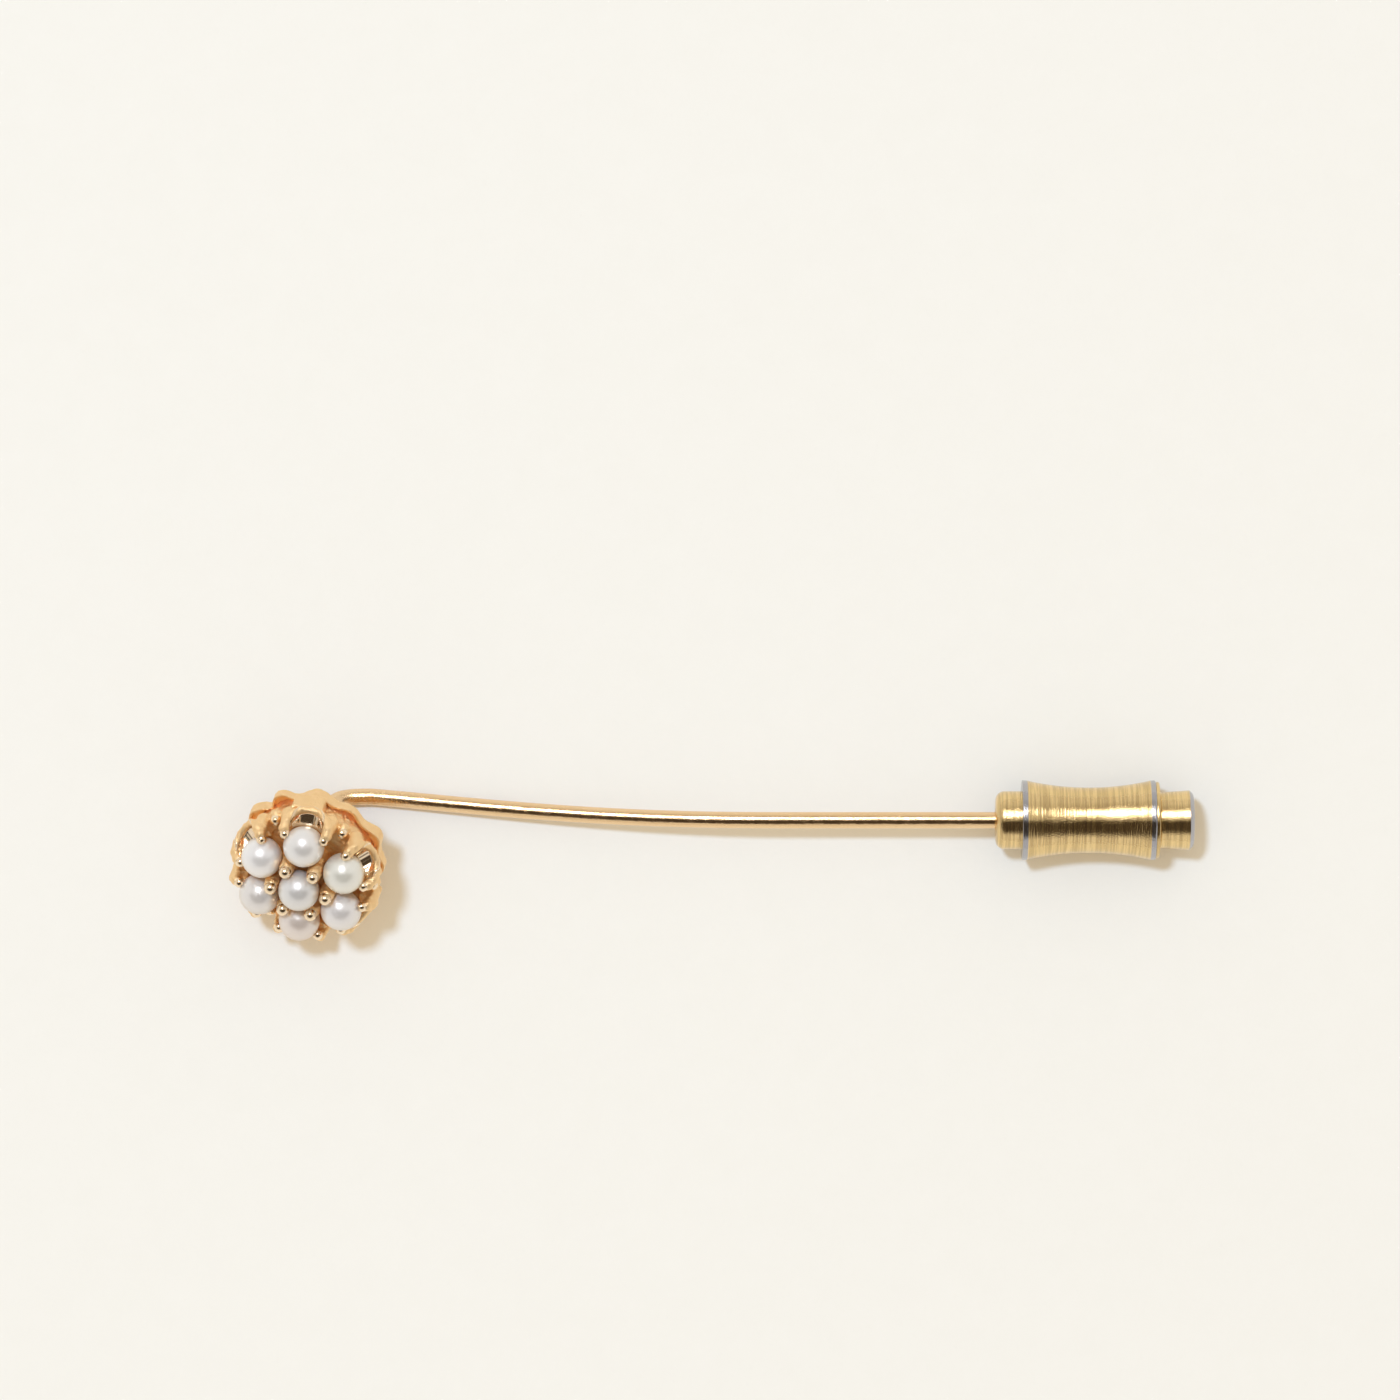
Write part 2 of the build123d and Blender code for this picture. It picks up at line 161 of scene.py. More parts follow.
def lathe(name, profile, body, node, segments=192):
    """A closed ring-shaped or solid turning about the X axis, from an outline of (x, radius)."""
    points, faces, rows = [], [], []
    for x, radius in profile:
        if radius < ON_AXIS:
            rows.append([len(points)])
            points.append((x, 0, 0))
            continue
        rows.append(list(range(len(points), len(points) + segments)))
        for k in range(segments):
            angle = 2 * math.pi * k / segments
            points.append((x, radius * math.cos(angle), radius * math.sin(angle)))
    closed = len(rows[0]) > 1 or len(rows[-1]) > 1
    pairs = list(zip(rows, rows[1:])) + ([(rows[-1], rows[0])] if closed else [])
    for a, b in pairs:
        if len(a) == 1 and len(b) == 1:
            continue
        for k in range(segments):
            n = (k + 1) % segments
            if len(a) == 1:
                faces.append((a[0], b[n], b[k]))
            elif len(b) == 1:
                faces.append((a[k], a[n], b[0]))
            else:
                faces.append((a[k], a[n], b[n], b[k]))
    piece = new_piece(name, np.array(points) * MM, faces, body, [node])
    outward_normals(piece)
    return piece


def outward_normals(piece):
    """Join points that fall together, and turn every face outward."""
    mesh = bmesh.new()
    mesh.from_mesh(piece.data)
    bmesh.ops.remove_doubles(mesh, verts=mesh.verts, dist=SAME_POINT)
    bmesh.ops.recalc_face_normals(mesh, faces=mesh.faces)
    mesh.to_mesh(piece.data)
    mesh.free()
    piece.data.shade_smooth()


def tube(name, path, radii, body, node, segments=48):
    """A round rod along a path of points in millimetres, with a radius at each, closed at both ends."""
    path = np.asarray(path, float)
    along = np.gradient(path, axis=0)
    along /= np.linalg.norm(along, axis=1)[:, None]
    side = np.cross(along[0], (0.0, 0.0, 1.0))
    if np.linalg.norm(side) < PARALLEL:
        side = np.cross(along[0], (0.0, 1.0, 0.0))
    points, faces = [], []
    turns = 2 * np.pi * np.arange(segments) / segments
    for here, direction, radius in zip(path, along, radii):
        side = side - direction * (side @ direction)
        side /= np.linalg.norm(side)
        up = np.cross(direction, side)
        ring = np.cos(turns)[:, None] * side + np.sin(turns)[:, None] * up
        points.extend(here + ring * radius)
    rings = len(path)
    for i in range(rings - 1):
        for k in range(segments):
            n = (k + 1) % segments
            a, b = i * segments, (i + 1) * segments
            faces.append((a + k, a + n, b + n, b + k))
    faces.append(tuple(range(segments - 1, -1, -1)))
    faces.append(tuple((rings - 1) * segments + k for k in range(segments)))
    piece = new_piece(name, np.array(points) * MM, faces, body, [node])
    outward_normals(piece)
    return piece


# ---------- clay: solids shaped as distances on a grid ----------

def joined(a, b, blend):
    """The nearer of two distances, with a fillet of this size where they meet."""
    share = np.clip(0.5 + 0.5 * (a - b) / blend, 0, 1)
    return a + (b - a) * share - blend * share * (1 - share)


def cut_by(a, b, blend):
    """Distance a with shape b taken away."""
    return -joined(-a, b, blend)


class Clay:
    """A solid in the head's frame that shapes are added to and cut from."""

    def __init__(self, low, high):
        self.low = np.array(low, float)
        self.counts = np.ceil((np.array(high) - self.low) / CLAY_STEP).astype(int) + 1
        self.distance = np.full(self.counts, FAR, np.float32)

    def window(self, low, high):
        """Part of the grid, and its x, y and z."""
        first = np.floor((np.array(low) - self.low) / CLAY_STEP).astype(int)
        last = np.ceil((np.array(high) - self.low) / CLAY_STEP).astype(int) + 1
        first = np.clip(first, 0, self.counts)
        last = np.clip(last, 0, self.counts)
        part = tuple(slice(a, b) for a, b in zip(first, last))
        axes = [self.low[i] + CLAY_STEP * np.arange(first[i], last[i]) for i in range(3)]
        return part, np.ix_(*(axis.astype(np.float32) for axis in axes))

    def shape(self, rule, blend, cut=False, around=None, reach=None):
        """Add or cut a shape, given as a rule of x, y and z. Only a box of this reach is touched."""
        if around is None:
            low, high = self.low, self.low + CLAY_STEP * self.counts
        else:
            low = np.array(around) - reach
            high = np.array(around) + reach
        part, (x, y, z) = self.window(low, high)
        here = self.distance[part]
        there = rule(x, y, z)
        change = cut_by if cut else joined
        self.distance[part] = change(here, there, blend)

    def surface(self):
        """Points in millimetres and four-sided faces, without any loose crumbs."""
        grid = openvdb.FloatGrid(FAR)
        grid.copyFromArray(self.distance)
        points, faces = largest_island(*grid.convertToQuads(0.0))
        return self.low + points * CLAY_STEP, faces


def largest_island(points, faces):
    """The points and faces of the biggest connected part of a mesh."""
    island = np.arange(len(points))
    settled = False
    while not settled:
        lower = island.copy()
        np.minimum.at(lower, faces, island[faces].min(axis=1)[:, None])
        lower = lower[lower]
        settled = (lower == island).all()
        island = lower
    kept = island == np.bincount(island[faces[:, 0]]).argmax()
    number = np.cumsum(kept) - 1
    return points[kept], number[faces[kept[faces[:, 0]]]]


def ball(centre, radius):
    cx, cy, cz = centre

    def rule(x, y, z):
        return np.sqrt((x - cx) ** 2 + (y - cy) ** 2 + (z - cz) ** 2) - radius

    return rule


def from_line(start, end, x, y, z):
    """How far along a line, from 0 to 1, it is nearest to a point, and the way from there to the point."""
    a = np.array(start, float)
    ab = np.array(end, float) - a
    t = np.clip(((x - a[0]) * ab[0] + (y - a[1]) * ab[1] + (z - a[2]) * ab[2]) / (ab @ ab), 0, 1)
    return t, (x - a[0] - ab[0] * t, y - a[1] - ab[1] * t, z - a[2] - ab[2] * t)


def rod(start, end, start_radius, end_radius):
    """A rod between two points, rounded at both ends, that may narrow along its length."""
    def rule(x, y, z):
        t, (gx, gy, gz) = from_line(start, end, x, y, z)
        return np.sqrt(gx ** 2 + gy ** 2 + gz ** 2) - (start_radius + (end_radius - start_radius) * t)

    return rule


def brick(reach, angle, height, half, rounding):
    """A rounded block at this distance and angle round the head; half is (radial, sideways, upright)."""
    c, s = math.cos(angle), math.sin(angle)

    def rule(x, y, z):
        out = np.abs(x * c + y * s - reach) - half[0] + rounding
        side = np.abs(-x * s + y * c) - half[1] + rounding
        rise = np.abs(z - height) - half[2] + rounding
        outside = np.sqrt(np.maximum(out, 0) ** 2 + np.maximum(side, 0) ** 2 + np.maximum(rise, 0) ** 2)
        return outside + np.minimum(np.maximum(np.maximum(out, side), rise), 0) - rounding

    return rule


def band(inner, outer, low, high):
    """A ring, or a disc where inner is zero, about the head's axis. The rest may depend on the angle."""

    def rule(x, y, z):
        radius = np.sqrt(x ** 2 + y ** 2)
        angle = np.arctan2(y, x)
        rim = radius - (outer(angle, z) if callable(outer) else outer)
        top = z - (high(angle) if callable(high) else high)
        bottom = (low(angle) if callable(low) else low) - z
        ring = np.maximum(rim, inner - radius) if inner else rim
        return np.maximum(np.maximum(ring, top), bottom)

    return rule


def polar(reach, degrees, height=0.0):
    angle = math.radians(degrees)
    return (reach * math.cos(angle), reach * math.sin(angle), height)


def place(spot, degrees):
    """A point at this (reach, height), this many degrees round the head."""
    return polar(spot[0], degrees, spot[1])


def fade(value, start, end):
    """0 at the start and before it, 1 at the end and beyond. The end may be the lower of the two."""
    return np.clip((value - start) / (end - start), 0, 1)


# ---------- head ----------

STEP = 360 / len(RING)
CROWN_SPACE = (-5.3, -5.3, -3.8), (5.3, 5.3, 1.6)  # corners of the box that it is shaped in
RAIL_SPACE = (-5.3, -5.3, -4.0), (5.3, 5.3, -2.0)
LOBE_MEAN, LOBE_SWELL, LOBE_RIPPLE = 4.36, 0.09, 0.23
WALL_TOP, FLOOR_TOP, TIER_BOTTOM, WALL_INSET = -0.62, -1.2, -1.75, 0.10
RAIL_TOP, RAIL_BOTTOM = -2.75, -3.58
RAIL_LIP, RAIL_CHANNEL, RAIL_RIPPLE = 0.20, 0.30, 0.16
RAIL_WAVE, RAIL_TILT, RAIL_FOOT_WAVE = 0.08, 0.04, 0.05
STRAY_CORNER, NICK = (0.20, 91, 8), (0.14, 104, 4)  # depth, then place and spread in degrees
SKIRT_R, SKIRT_BORE_R, SKIRT_INSET = 3.95, 3.4, 0.02
WELL_R = 3.5  # of the hollow that the pearls stand in
OUTSIDE_R = 6  # beyond every part of the head
BRIDGE_DEGREES, BRIDGE_R = (64, 180, 300), 4.2
BRIDGE_HALF, BRIDGE_ROUNDING = (0.42, 0.95, 0.62), 0.15
# Half of the rounded ridge round each notch, from a prong's tip down to the middle of its foot,
# as (outward, sideways, height, radius) seen from the head's middle.
ARCH = (
    (3.70, 1.20, 0.08, 0.29), (3.93, 1.30, -0.12, 0.29), (4.20, 1.27, -0.48, 0.27),
    (4.40, 1.04, -1.02, 0.24), (4.52, 0.60, -1.42, 0.21), (4.55, 0.0, -1.56, 0.20),
)
NOTCH_INNER, NOTCH_OUTER = (3.1, 0.28), (6.1, -1.40)
NOTCH_R, NOTCH_SPREAD, FLUTES, FLUTE_DEPTH = 0.90, 0.10, 14, 0.022
SCOOPED_R = 3.3  # nearer the middle than this, a notch's surface isn't a cut face
# A place here is (reach, height) from the head's middle, but a prong's root is counted from its neck.
SCOOP_AROUND, SCOOP_REACH = (4.1, -0.5), 2  # the box that a notch is cut in, and half its side
GAP_INNER, GAP_OUTER, GAP_RADII = (3.4, -0.72), (5.4, -1.08), (0.50, 0.62)
PRONG_ROOT, PRONG_ROOT_RADII = (0.08, -1.3), (0.28, 0.42)
PETAL, PETAL_R = (4.12, -1.50), 0.42
STEM_FOOT, STEM_RADII = (3.9, -1.6), (0.3, 0.2)
INNER_TIP_R, INNER_TIP_HEIGHT, INNER_BEAD_R = 1.7, 0.98, 0.38
POST_HEIGHTS, POST_RADII = (-1.5, -0.3, 0.62), (0.62, 0.44)
JUNCTION_R, JUNCTION_HEIGHT, JUNCTION_BEAD_R = 4.11, -1.13, 0.32
OUTER_BEAD_GROWTH = 0.02  # what a polished bead adds to the radius of an outer prong's tip
SEAT_HOLE_REACH, SEAT_HOLE_R, SEAT_HOLE_HEIGHTS = 2.6, 0.6, (-2.2, -1.5, 0)
SEAT_ROOM, PEARL_ROOM = 0.06, 0.012  # between a pearl and its seat, and a pearl and a bead
WIDE_SWELL, SMALL_SWELL = 0.004, 0.003  # how far from round a pearl is, as a share of its radius
CRUDE = 0.020  # height of the casting's uneven skin, in millimetres
# Directions and rates of its waves, in radians to the millimetre.
LONG_WAVES = ((9.1, 4.3, 5.9), (-5.2, 8.7, 7.3), (3.7, -7.9, 10.3), (12.9, 9.7, -6.1))
FINE_WAVES, FINE_SHARE = ((19, 11, 13), (-15, 17, 9), (9, -21, 12), (-12, -10, 22)), 0.55
HOLLOW_R, HOLLOW_TOP = 4.15, 0.8  # limits of the hollows, where the skin is rougher


def lobes(angle, ripple=LOBE_RIPPLE):
    """The head's outline: six lobes, each with two smaller ones."""
    return LOBE_MEAN + LOBE_SWELL * np.cos(6 * angle) + ripple * np.cos(12 * angle)


def crude_skin(x, y, z):
    """Smooth unevenness of a cast surface: crossed waves of unrelated lengths."""
    total = 0
    for i, (a, b, c) in enumerate(LONG_WAVES):
        total = total + np.sin(a * x + b * y + c * z + 1.7 * i)
    for i, (a, b, c) in enumerate(FINE_WAVES):
        total = total + FINE_SHARE * np.sin(a * x + b * y + c * z + 2.3 * i + total)
    return total / 5


def add_walls(clay):
    """The lobed wall of the upper tier, and the skirt that the rail sits on."""
    def edge(angle, z):
        return lobes(angle) - WALL_INSET

    clay.shape(band(0, edge, TIER_BOTTOM, WALL_TOP), blend=0.05)
    clay.shape(band(0, WELL_R, FLOOR_TOP, WALL_TOP + 1), blend=0.12, cut=True)
    clay.shape(band(SKIRT_BORE_R, SKIRT_R - SKIRT_INSET, RAIL_BOTTOM, TIER_BOTTOM + 0.1), blend=0.12)


def open_gap(clay):
    """Clear the groove between the two tiers, and leave the bridges across it."""
    clay.shape(band(SKIRT_R, OUTSIDE_R, RAIL_BOTTOM, TIER_BOTTOM), blend=0.05, cut=True)
    middle = (RAIL_TOP + TIER_BOTTOM) / 2
    for degrees in BRIDGE_DEGREES:
        bridge = brick(BRIDGE_R, math.radians(degrees), middle, BRIDGE_HALF, BRIDGE_ROUNDING)
        clay.shape(bridge, blend=0.16, around=polar(BRIDGE_R, degrees, middle), reach=1.7)


def scoop(degrees):
    """A round cut outward from a pearl, with the faint flutes of the graver round it."""
    start, end = place(NOTCH_INNER, degrees), place(NOTCH_OUTER, degrees)
    side = np.array(polar(1, degrees + 90))

    def rule(x, y, z):
        t, (gx, gy, gz) = from_line(start, end, x, y, z)
        turn = np.arctan2(gx * side[0] + gy * side[1], gz)
        gap = np.sqrt(gx ** 2 + gy ** 2 + gz ** 2)
        return gap - NOTCH_R - NOTCH_SPREAD * t - FLUTE_DEPTH * np.abs(np.sin(FLUTES / 2 * turn))

    return rule


def cut_notches(clay):
    """A scooped notch in front of each pearl, and a gap, sloping outward, between every two."""
    for i in range(6):
        degrees = STEP * i
        around = place(SCOOP_AROUND, degrees)
        clay.shape(scoop(degrees), blend=0.03, cut=True, around=around, reach=SCOOP_REACH)
        between = degrees + STEP / 2
        gap = rod(place(GAP_INNER, between), place(GAP_OUTER, between), *GAP_RADII)
        clay.shape(gap, blend=0.08, cut=True, around=polar(4.3, between, -1), reach=1.6)


def add_arches(clay):
    """A rounded ridge round each notch, ending in two prongs bent over the pearl."""
    for i in range(6):
        degrees = STEP * i
        across = np.array(polar(1, degrees + 90))
        for side in (-1, 1):
            points = [np.array(polar(p[0], degrees, p[2])) + across * p[1] * side for p in ARCH]
            for k in range(len(ARCH) - 1):
                ridge = rod(points[k], points[k + 1], ARCH[k][3], ARCH[k + 1][3])
                clay.shape(ridge, blend=0.07, around=points[k], reach=1.2)
            foot = points[1] + np.array(place(PRONG_ROOT, degrees))
            for top in points[1:3]:
                clay.shape(rod(top, foot, *PRONG_ROOT_RADII), blend=0.12, around=points[2], reach=1.9)


def add_junctions(clay):
    """Between every two pearls, a low rounded petal with a bead in front of it."""
    for i in range(6):
        degrees = STEP * (i + 0.5)
        petal = place(PETAL, degrees)
        clay.shape(ball(petal, PETAL_R), blend=0.06, around=petal, reach=1.0)
        bead = polar(JUNCTION_R, degrees, JUNCTION_HEIGHT)
        clay.shape(rod(place(STEM_FOOT, degrees), bead, *STEM_RADII), blend=0.08, around=bead, reach=1.1)
        clay.shape(ball(bead, JUNCTION_BEAD_R), blend=0.03, around=bead, reach=0.8)


def add_inner_prongs(clay):
    """Six rough posts in the gaps between three pearls."""
    for i in range(6):
        degrees = STEP * (i + 0.5)
        foot, middle, neck = (polar(INNER_TIP_R, degrees, height) for height in POST_HEIGHTS)
        clay.shape(rod(foot, neck, *POST_RADII), blend=0.12, around=middle, reach=1.9)


def tip_places():
    """Middle and radius of every polished bead on the head."""
    places = []
    tip_reach, tip_aside, tip_height, tip_radius = ARCH[0]
    for i in range(6):
        outward = np.array(polar(tip_reach, STEP * i, tip_height))
        for side in (-1, 1):
            aside = np.array(polar(tip_aside * side, STEP * i + 90))
            places.append((outward + aside, tip_radius + OUTER_BEAD_GROWTH))
        between = STEP * (i + 0.5)
        places.append((np.array(polar(INNER_TIP_R, between, INNER_TIP_HEIGHT)), INNER_BEAD_R))
        places.append((np.array(polar(JUNCTION_R, between, JUNCTION_HEIGHT)), JUNCTION_BEAD_R))
    return places


def add_beads(clay):
    """The polished beads, cut back where they would enter a pearl."""
    for middle, radius in tip_places():
        clay.shape(ball(middle, radius), blend=0.02, around=middle, reach=1.0)
    for seat in pearl_places():
        clay.shape(ball(seat, PEARL_R + PEARL_ROOM), blend=0.01, cut=True, around=seat, reach=1.7)


def pearl_places():
    return [(0, 0, CENTRE_RAISE)] + [polar(RING_R, STEP * i) for i in range(6)]


def seat_pearls(clay):
    """A seat for each pearl, and the hole under it."""
    for seat in pearl_places():
        clay.shape(ball(seat, PEARL_R + SEAT_ROOM), blend=0.05, cut=True, around=seat, reach=1.7)
    for i in range(6):
        low, middle, high = (polar(SEAT_HOLE_REACH, STEP * i, height) for height in SEAT_HOLE_HEIGHTS)
        for end in (high, low):
            hole = rod(middle, end, SEAT_HOLE_R, SEAT_HOLE_R)
            clay.shape(hole, blend=0.06, cut=True, around=middle, reach=1.5)


def crown():
    """The crown as one casting. Its beads come after the skin is roughened, so they stay smooth."""
    clay = Clay(*CROWN_SPACE)
    add_walls(clay)
    cut_notches(clay)
    add_arches(clay)
    add_junctions(clay)
    open_gap(clay)
    add_inner_prongs(clay)
    seat_pearls(clay)
    roughen(clay)
    add_beads(clay)
    points, faces = clay.surface()
    piece = new_piece("cast_crown", to_row(points), faces, "pin", ["crown"])
    mark_polish(piece, points)
    return piece


def roughen(clay):
    """Uneven skin: rougher in the hollows between the pearls, and none on the cut faces of the notches."""
    part, (x, y, z) = clay.window(clay.low, clay.low + CLAY_STEP * clay.counts)
    reach = np.sqrt(x ** 2 + y ** 2)
    hollow = fade(reach, HOLLOW_R, HOLLOW_R - 0.2) * fade(z, HOLLOW_TOP, HOLLOW_TOP - 0.3)
    skin = (CRUDE * (1 + 2 * hollow) * crude_skin(x, y, z)).astype(np.float32)
    for i in range(6):
        around = np.array(place(SCOOP_AROUND, STEP * i))
        near, (x, y, z) = clay.window(around - SCOOP_REACH, around + SCOOP_REACH)
        skin[near] *= fade(np.abs(scoop(STEP * i)(x, y, z)), 0.032, 0.112)
    clay.distance[part] += skin


def mark_polish(piece, points):
    """Mark where the head is polished: the beads and the scooped faces of the notches."""
    shine = np.zeros(len(points))
    for middle, radius in tip_places():
        gap = np.linalg.norm(points - middle, axis=1)
        shine = np.maximum(shine, fade(gap - radius, 0.05, -0.01))
    for i in range(6):
        gap = np.abs(scoop(STEP * i)(points[:, 0], points[:, 1], points[:, 2]))
        far_enough = np.linalg.norm(points[:, :2], axis=1) > SCOOPED_R
        shine = np.maximum(shine, fade(gap, 0.06, 0.03) * far_enough)
    store(piece, "shine", shine)


def store(piece, name, values):
    """Keep a number for each point, which a material can read."""
    attribute = piece.data.attributes.new(name, "FLOAT", "POINT")
    attribute.data.foreach_set("value", np.asarray(values, np.float32))


def rail_top(angle):
    """Height of the rail's wavy upper edge round the head."""
    return RAIL_TOP - RAIL_WAVE * (1 - np.cos(6 * angle)) + RAIL_TILT * np.cos(2 * angle + 0.6)


def rail_bottom(angle):
    return RAIL_BOTTOM + RAIL_FOOT_WAVE * (1 - np.cos(6 * angle + 0.5))


def bulge(angle, depth, degrees, spread):
    """A depth near a place round the head, falling quickly to 0 beyond its spread."""
    away = np.degrees(np.angle(np.exp(1j * (angle - math.radians(degrees)))))
    return depth * np.exp(-(away / spread) ** 4)


def rail_outline(angle, z):
    """The rail's edge, with one stray corner and the nick beside it."""
    return lobes(angle, RAIL_RIPPLE) + bulge(angle, *STRAY_CORNER) - bulge(angle, *NICK)


def gallery_rail():
    """The wavy rail, with a channel between its lip and the skirt."""
    clay = Clay(*RAIL_SPACE)
    clay.shape(band(SKIRT_R, rail_outline, rail_bottom, rail_top), blend=0.05)

    def channel_edge(angle, z):
        return rail_outline(angle, z) - RAIL_LIP

    def channel_floor(angle):
        return rail_top(angle) - RAIL_CHANNEL

    clay.shape(band(0, channel_edge, channel_floor, RAIL_TOP + 1), blend=0.06, cut=True)
    roughen(clay)
    points, faces = clay.surface()
    piece = new_piece("gallery_rail_cast", to_row(points), faces, "pin", ["gallery_rail"])
    store(piece, "shine", np.zeros(len(points)))
    return piece


def sphere(subdivisions):
    """Points and faces of a ball with a radius of 1."""
    mesh = bmesh.new()
    bmesh.ops.create_icosphere(mesh, subdivisions=subdivisions, radius=1.0)
    points = np.array([v.co for v in mesh.verts])
    faces = [[v.index for v in f.verts] for f in mesh.faces]
    mesh.free()
    return points, faces


def pearl(node, index):
    """A cultured pearl: a little off round, in its place in the crown."""
    points, faces = sphere(6)
    x, y, z = points.T
    phase = 1.3 * index
    swell = WIDE_SWELL * (np.sin(2.3 * x + 1.9 * y + phase) - 1)
    swell += SMALL_SWELL * np.sin(4.1 * z - 3.3 * x + 2 * phase)
    points = points * (1 + swell)[:, None] * PEARL_R * MM + np.array(centre_of(node))
    return new_piece("nacre_" + node, points, faces, "pin", [node])


# ---------- wire ----------

WIRE_R = 0.5
SHANK_START_X, SHANK_END_X = -4.7, 7.7
TAPER_END_X, TAPER_END_R, POINT_R = 16.8, 0.45, 0.08
ROOT_LENGTH = 2.0
ELBOW_X, ELBOW_Y, ELBOW_PULL = -29.9, 1.4, 2.4
SWAY_PULLS = ((1.1, 0, 0), (9.0, -0.93, 0), (14.6, -1.34, 1.18))
SHANK_PULL = 4.8
BAR_TOP = -2.6
WIRE_OFFSET = 0.8
TIP_STEPS, TIP_END_R = 6, 0.002
ROOT_POINTS, BEND_POINTS, SWAY_POINTS, SHANK_POINTS = 24, 60, 220, 260
SCUFFED_X = (-27.5, -24.5)  # where the scuffs near the head fade out


def bezier(controls, count):
    """Points along the curve of these controls."""
    order = len(controls) - 1
    t = np.linspace(0, 1, count)[:, None]
    total = 0
    for i, control in enumerate(controls):
        total = total + math.comb(order, i) * (1 - t) ** (order - i) * t ** i * np.array(control, float)
    return total


def wire_path():
    """Centre points of the wire, from its root in the head to its point, and the radius at each."""
    face = np.array(FACE)
    up = np.array((Vector((0, 0, 1)) - FACE * FACE.z).normalized())
    root = np.array(HEAD.translation) / MM + face * BAR_TOP + up * WIRE_OFFSET
    bend = root - face * ROOT_LENGTH
    elbow = np.array((ELBOW_X, ELBOW_Y, TABLE_Z + WIRE_R))
    back = elbow - np.array((ELBOW_PULL, 0, 0))
    sway = [elbow + np.array(pull) for pull in SWAY_PULLS]
    shank = [(SHANK_START_X - SHANK_PULL, 0, 0), (SHANK_START_X, 0, 0)]
    tip_x = POINT_X - POINT_R
    path = np.concatenate([
        np.linspace(root, bend, ROOT_POINTS)[:-1],
        bezier([bend, bend - face * ELBOW_PULL, back, elbow], BEND_POINTS)[:-1],
        bezier([elbow, *sway, *shank], SWAY_POINTS)[:-1],
        np.linspace((SHANK_START_X, 0, 0), (tip_x, 0, 0), SHANK_POINTS),
    ])
    radius = np.interp(path[:, 0], (SHANK_END_X, TAPER_END_X, tip_x), (WIRE_R, TAPER_END_R, POINT_R))
    angles = np.linspace(0, math.pi / 2, TIP_STEPS + 1)[1:]
    tip = [(tip_x + POINT_R * math.sin(a), 0, 0) for a in angles]
    tip_radius = [max(POINT_R * math.cos(a), TIP_END_R) for a in angles]
    return np.concatenate([path, tip]), np.concatenate([radius, tip_radius])


def pin_wire():
    path, radius = wire_path()
    return tube("drawn_wire", path, radius, "pin", "pin_wire", segments=64)


# ---------- clutch ----------

NOSE_R, NOSE_LENGTH, NOSE_ROUNDING, NOSE_EDGE_R = 1.76, 1.6, 0.55, 0.04
PASSAGE_R, PASSAGE_LENGTH, PASSAGE_LEAD = 0.58, 0.9, 0.15
HOUSING_R, CHAMBER_R = 1.6, 1.35
CONE_START_R, CONE_END = 0.595, 3.72
SLEEVE_END, RIM_R, WAIST_R, RIM_LAND, RIM_FALL = 9.7, 2.425, 1.98, 0.32, 0.025
RIM_FRONT_EDGE_R, RIM_BACK_EDGE_R = 0.05, 0.12
PLUG_START, LIP_END, LIP_R, LIP_EDGE_R, CAP_BORE_R = 8.9, 9.92, 2.33, 0.15, 0.9
KNOB_START, KNOB_END, KNOB_FRONT_R, KNOB_TAIL_R, KNOB_CHAMFER = 9.96, 12.0, 1.695, 1.81, 0.24
KNOB_FRONT_EDGE_R, KNOB_TAIL_EDGE_R, KNOB_END_EDGE_R = 0.05, 0.12, 0.10
CAGE_TAIL_END, CAGE_TAIL_R = 11.35, 0.85
TURNING = 0.0016  # depth of the lathe's marks, in millimetres
MARK_SPACING, WAIST_MARKS = 0.03, 250  # how far apart they are, and how many the waist has
NOSE_STEPS = 16  # in the arc of the housing's nose
EDGE_R = 0.02  # rounding of every edge with no size of its own


def clutch_turning(name, profile, body, node, segments=192):
    """A turned piece of the clutch, from an outline of corners with x measured from the nose."""
    outline = [(NOSE_X + x, radius) for x, radius in rounded_profile(profile, EDGE_R)]
    return lathe(name, outline, body, node, segments)


def turned(start, end, seed):
    """Points along a turned stretch between two (x, radius) ends, with fine tool marks on it."""
    marks = np.random.default_rng(seed)
    count = int((end[0] - start[0]) / MARK_SPACING)
    out = []
    for i in range(1, count):
        t = i / count
        x = start[0] + (end[0] - start[0]) * t
        r = start[1] + (end[1] - start[1]) * t
        out.append((x, r + TURNING * marks.uniform(-1, 1), 0))
    return out


def housing():
    """The body: a rounded nose, a step that the sleeve covers, and the passage and cone inside."""
    profile = [(0, PASSAGE_R + PASSAGE_LEAD)]
    for step in range(NOSE_STEPS + 1):
        angle = math.pi / 2 * step / NOSE_STEPS
        x = NOSE_ROUNDING * (1 - math.cos(angle))
        profile.append((x, NOSE_R - NOSE_ROUNDING * (1 - math.sin(angle)), 0))
    profile += turned((NOSE_ROUNDING, NOSE_R), (NOSE_LENGTH, NOSE_R), seed=5)
    profile += [
        (NOSE_LENGTH, NOSE_R, NOSE_EDGE_R), (NOSE_LENGTH, HOUSING_R),
        (SLEEVE_END, HOUSING_R), (SLEEVE_END, CHAMBER_R),
        (CONE_END, CHAMBER_R), (PASSAGE_LENGTH, CONE_START_R),
        (PASSAGE_LENGTH, PASSAGE_R), (PASSAGE_LEAD, PASSAGE_R),
    ]
    return clutch_turning("turned_housing", profile, "clutch", "clutch_housing")


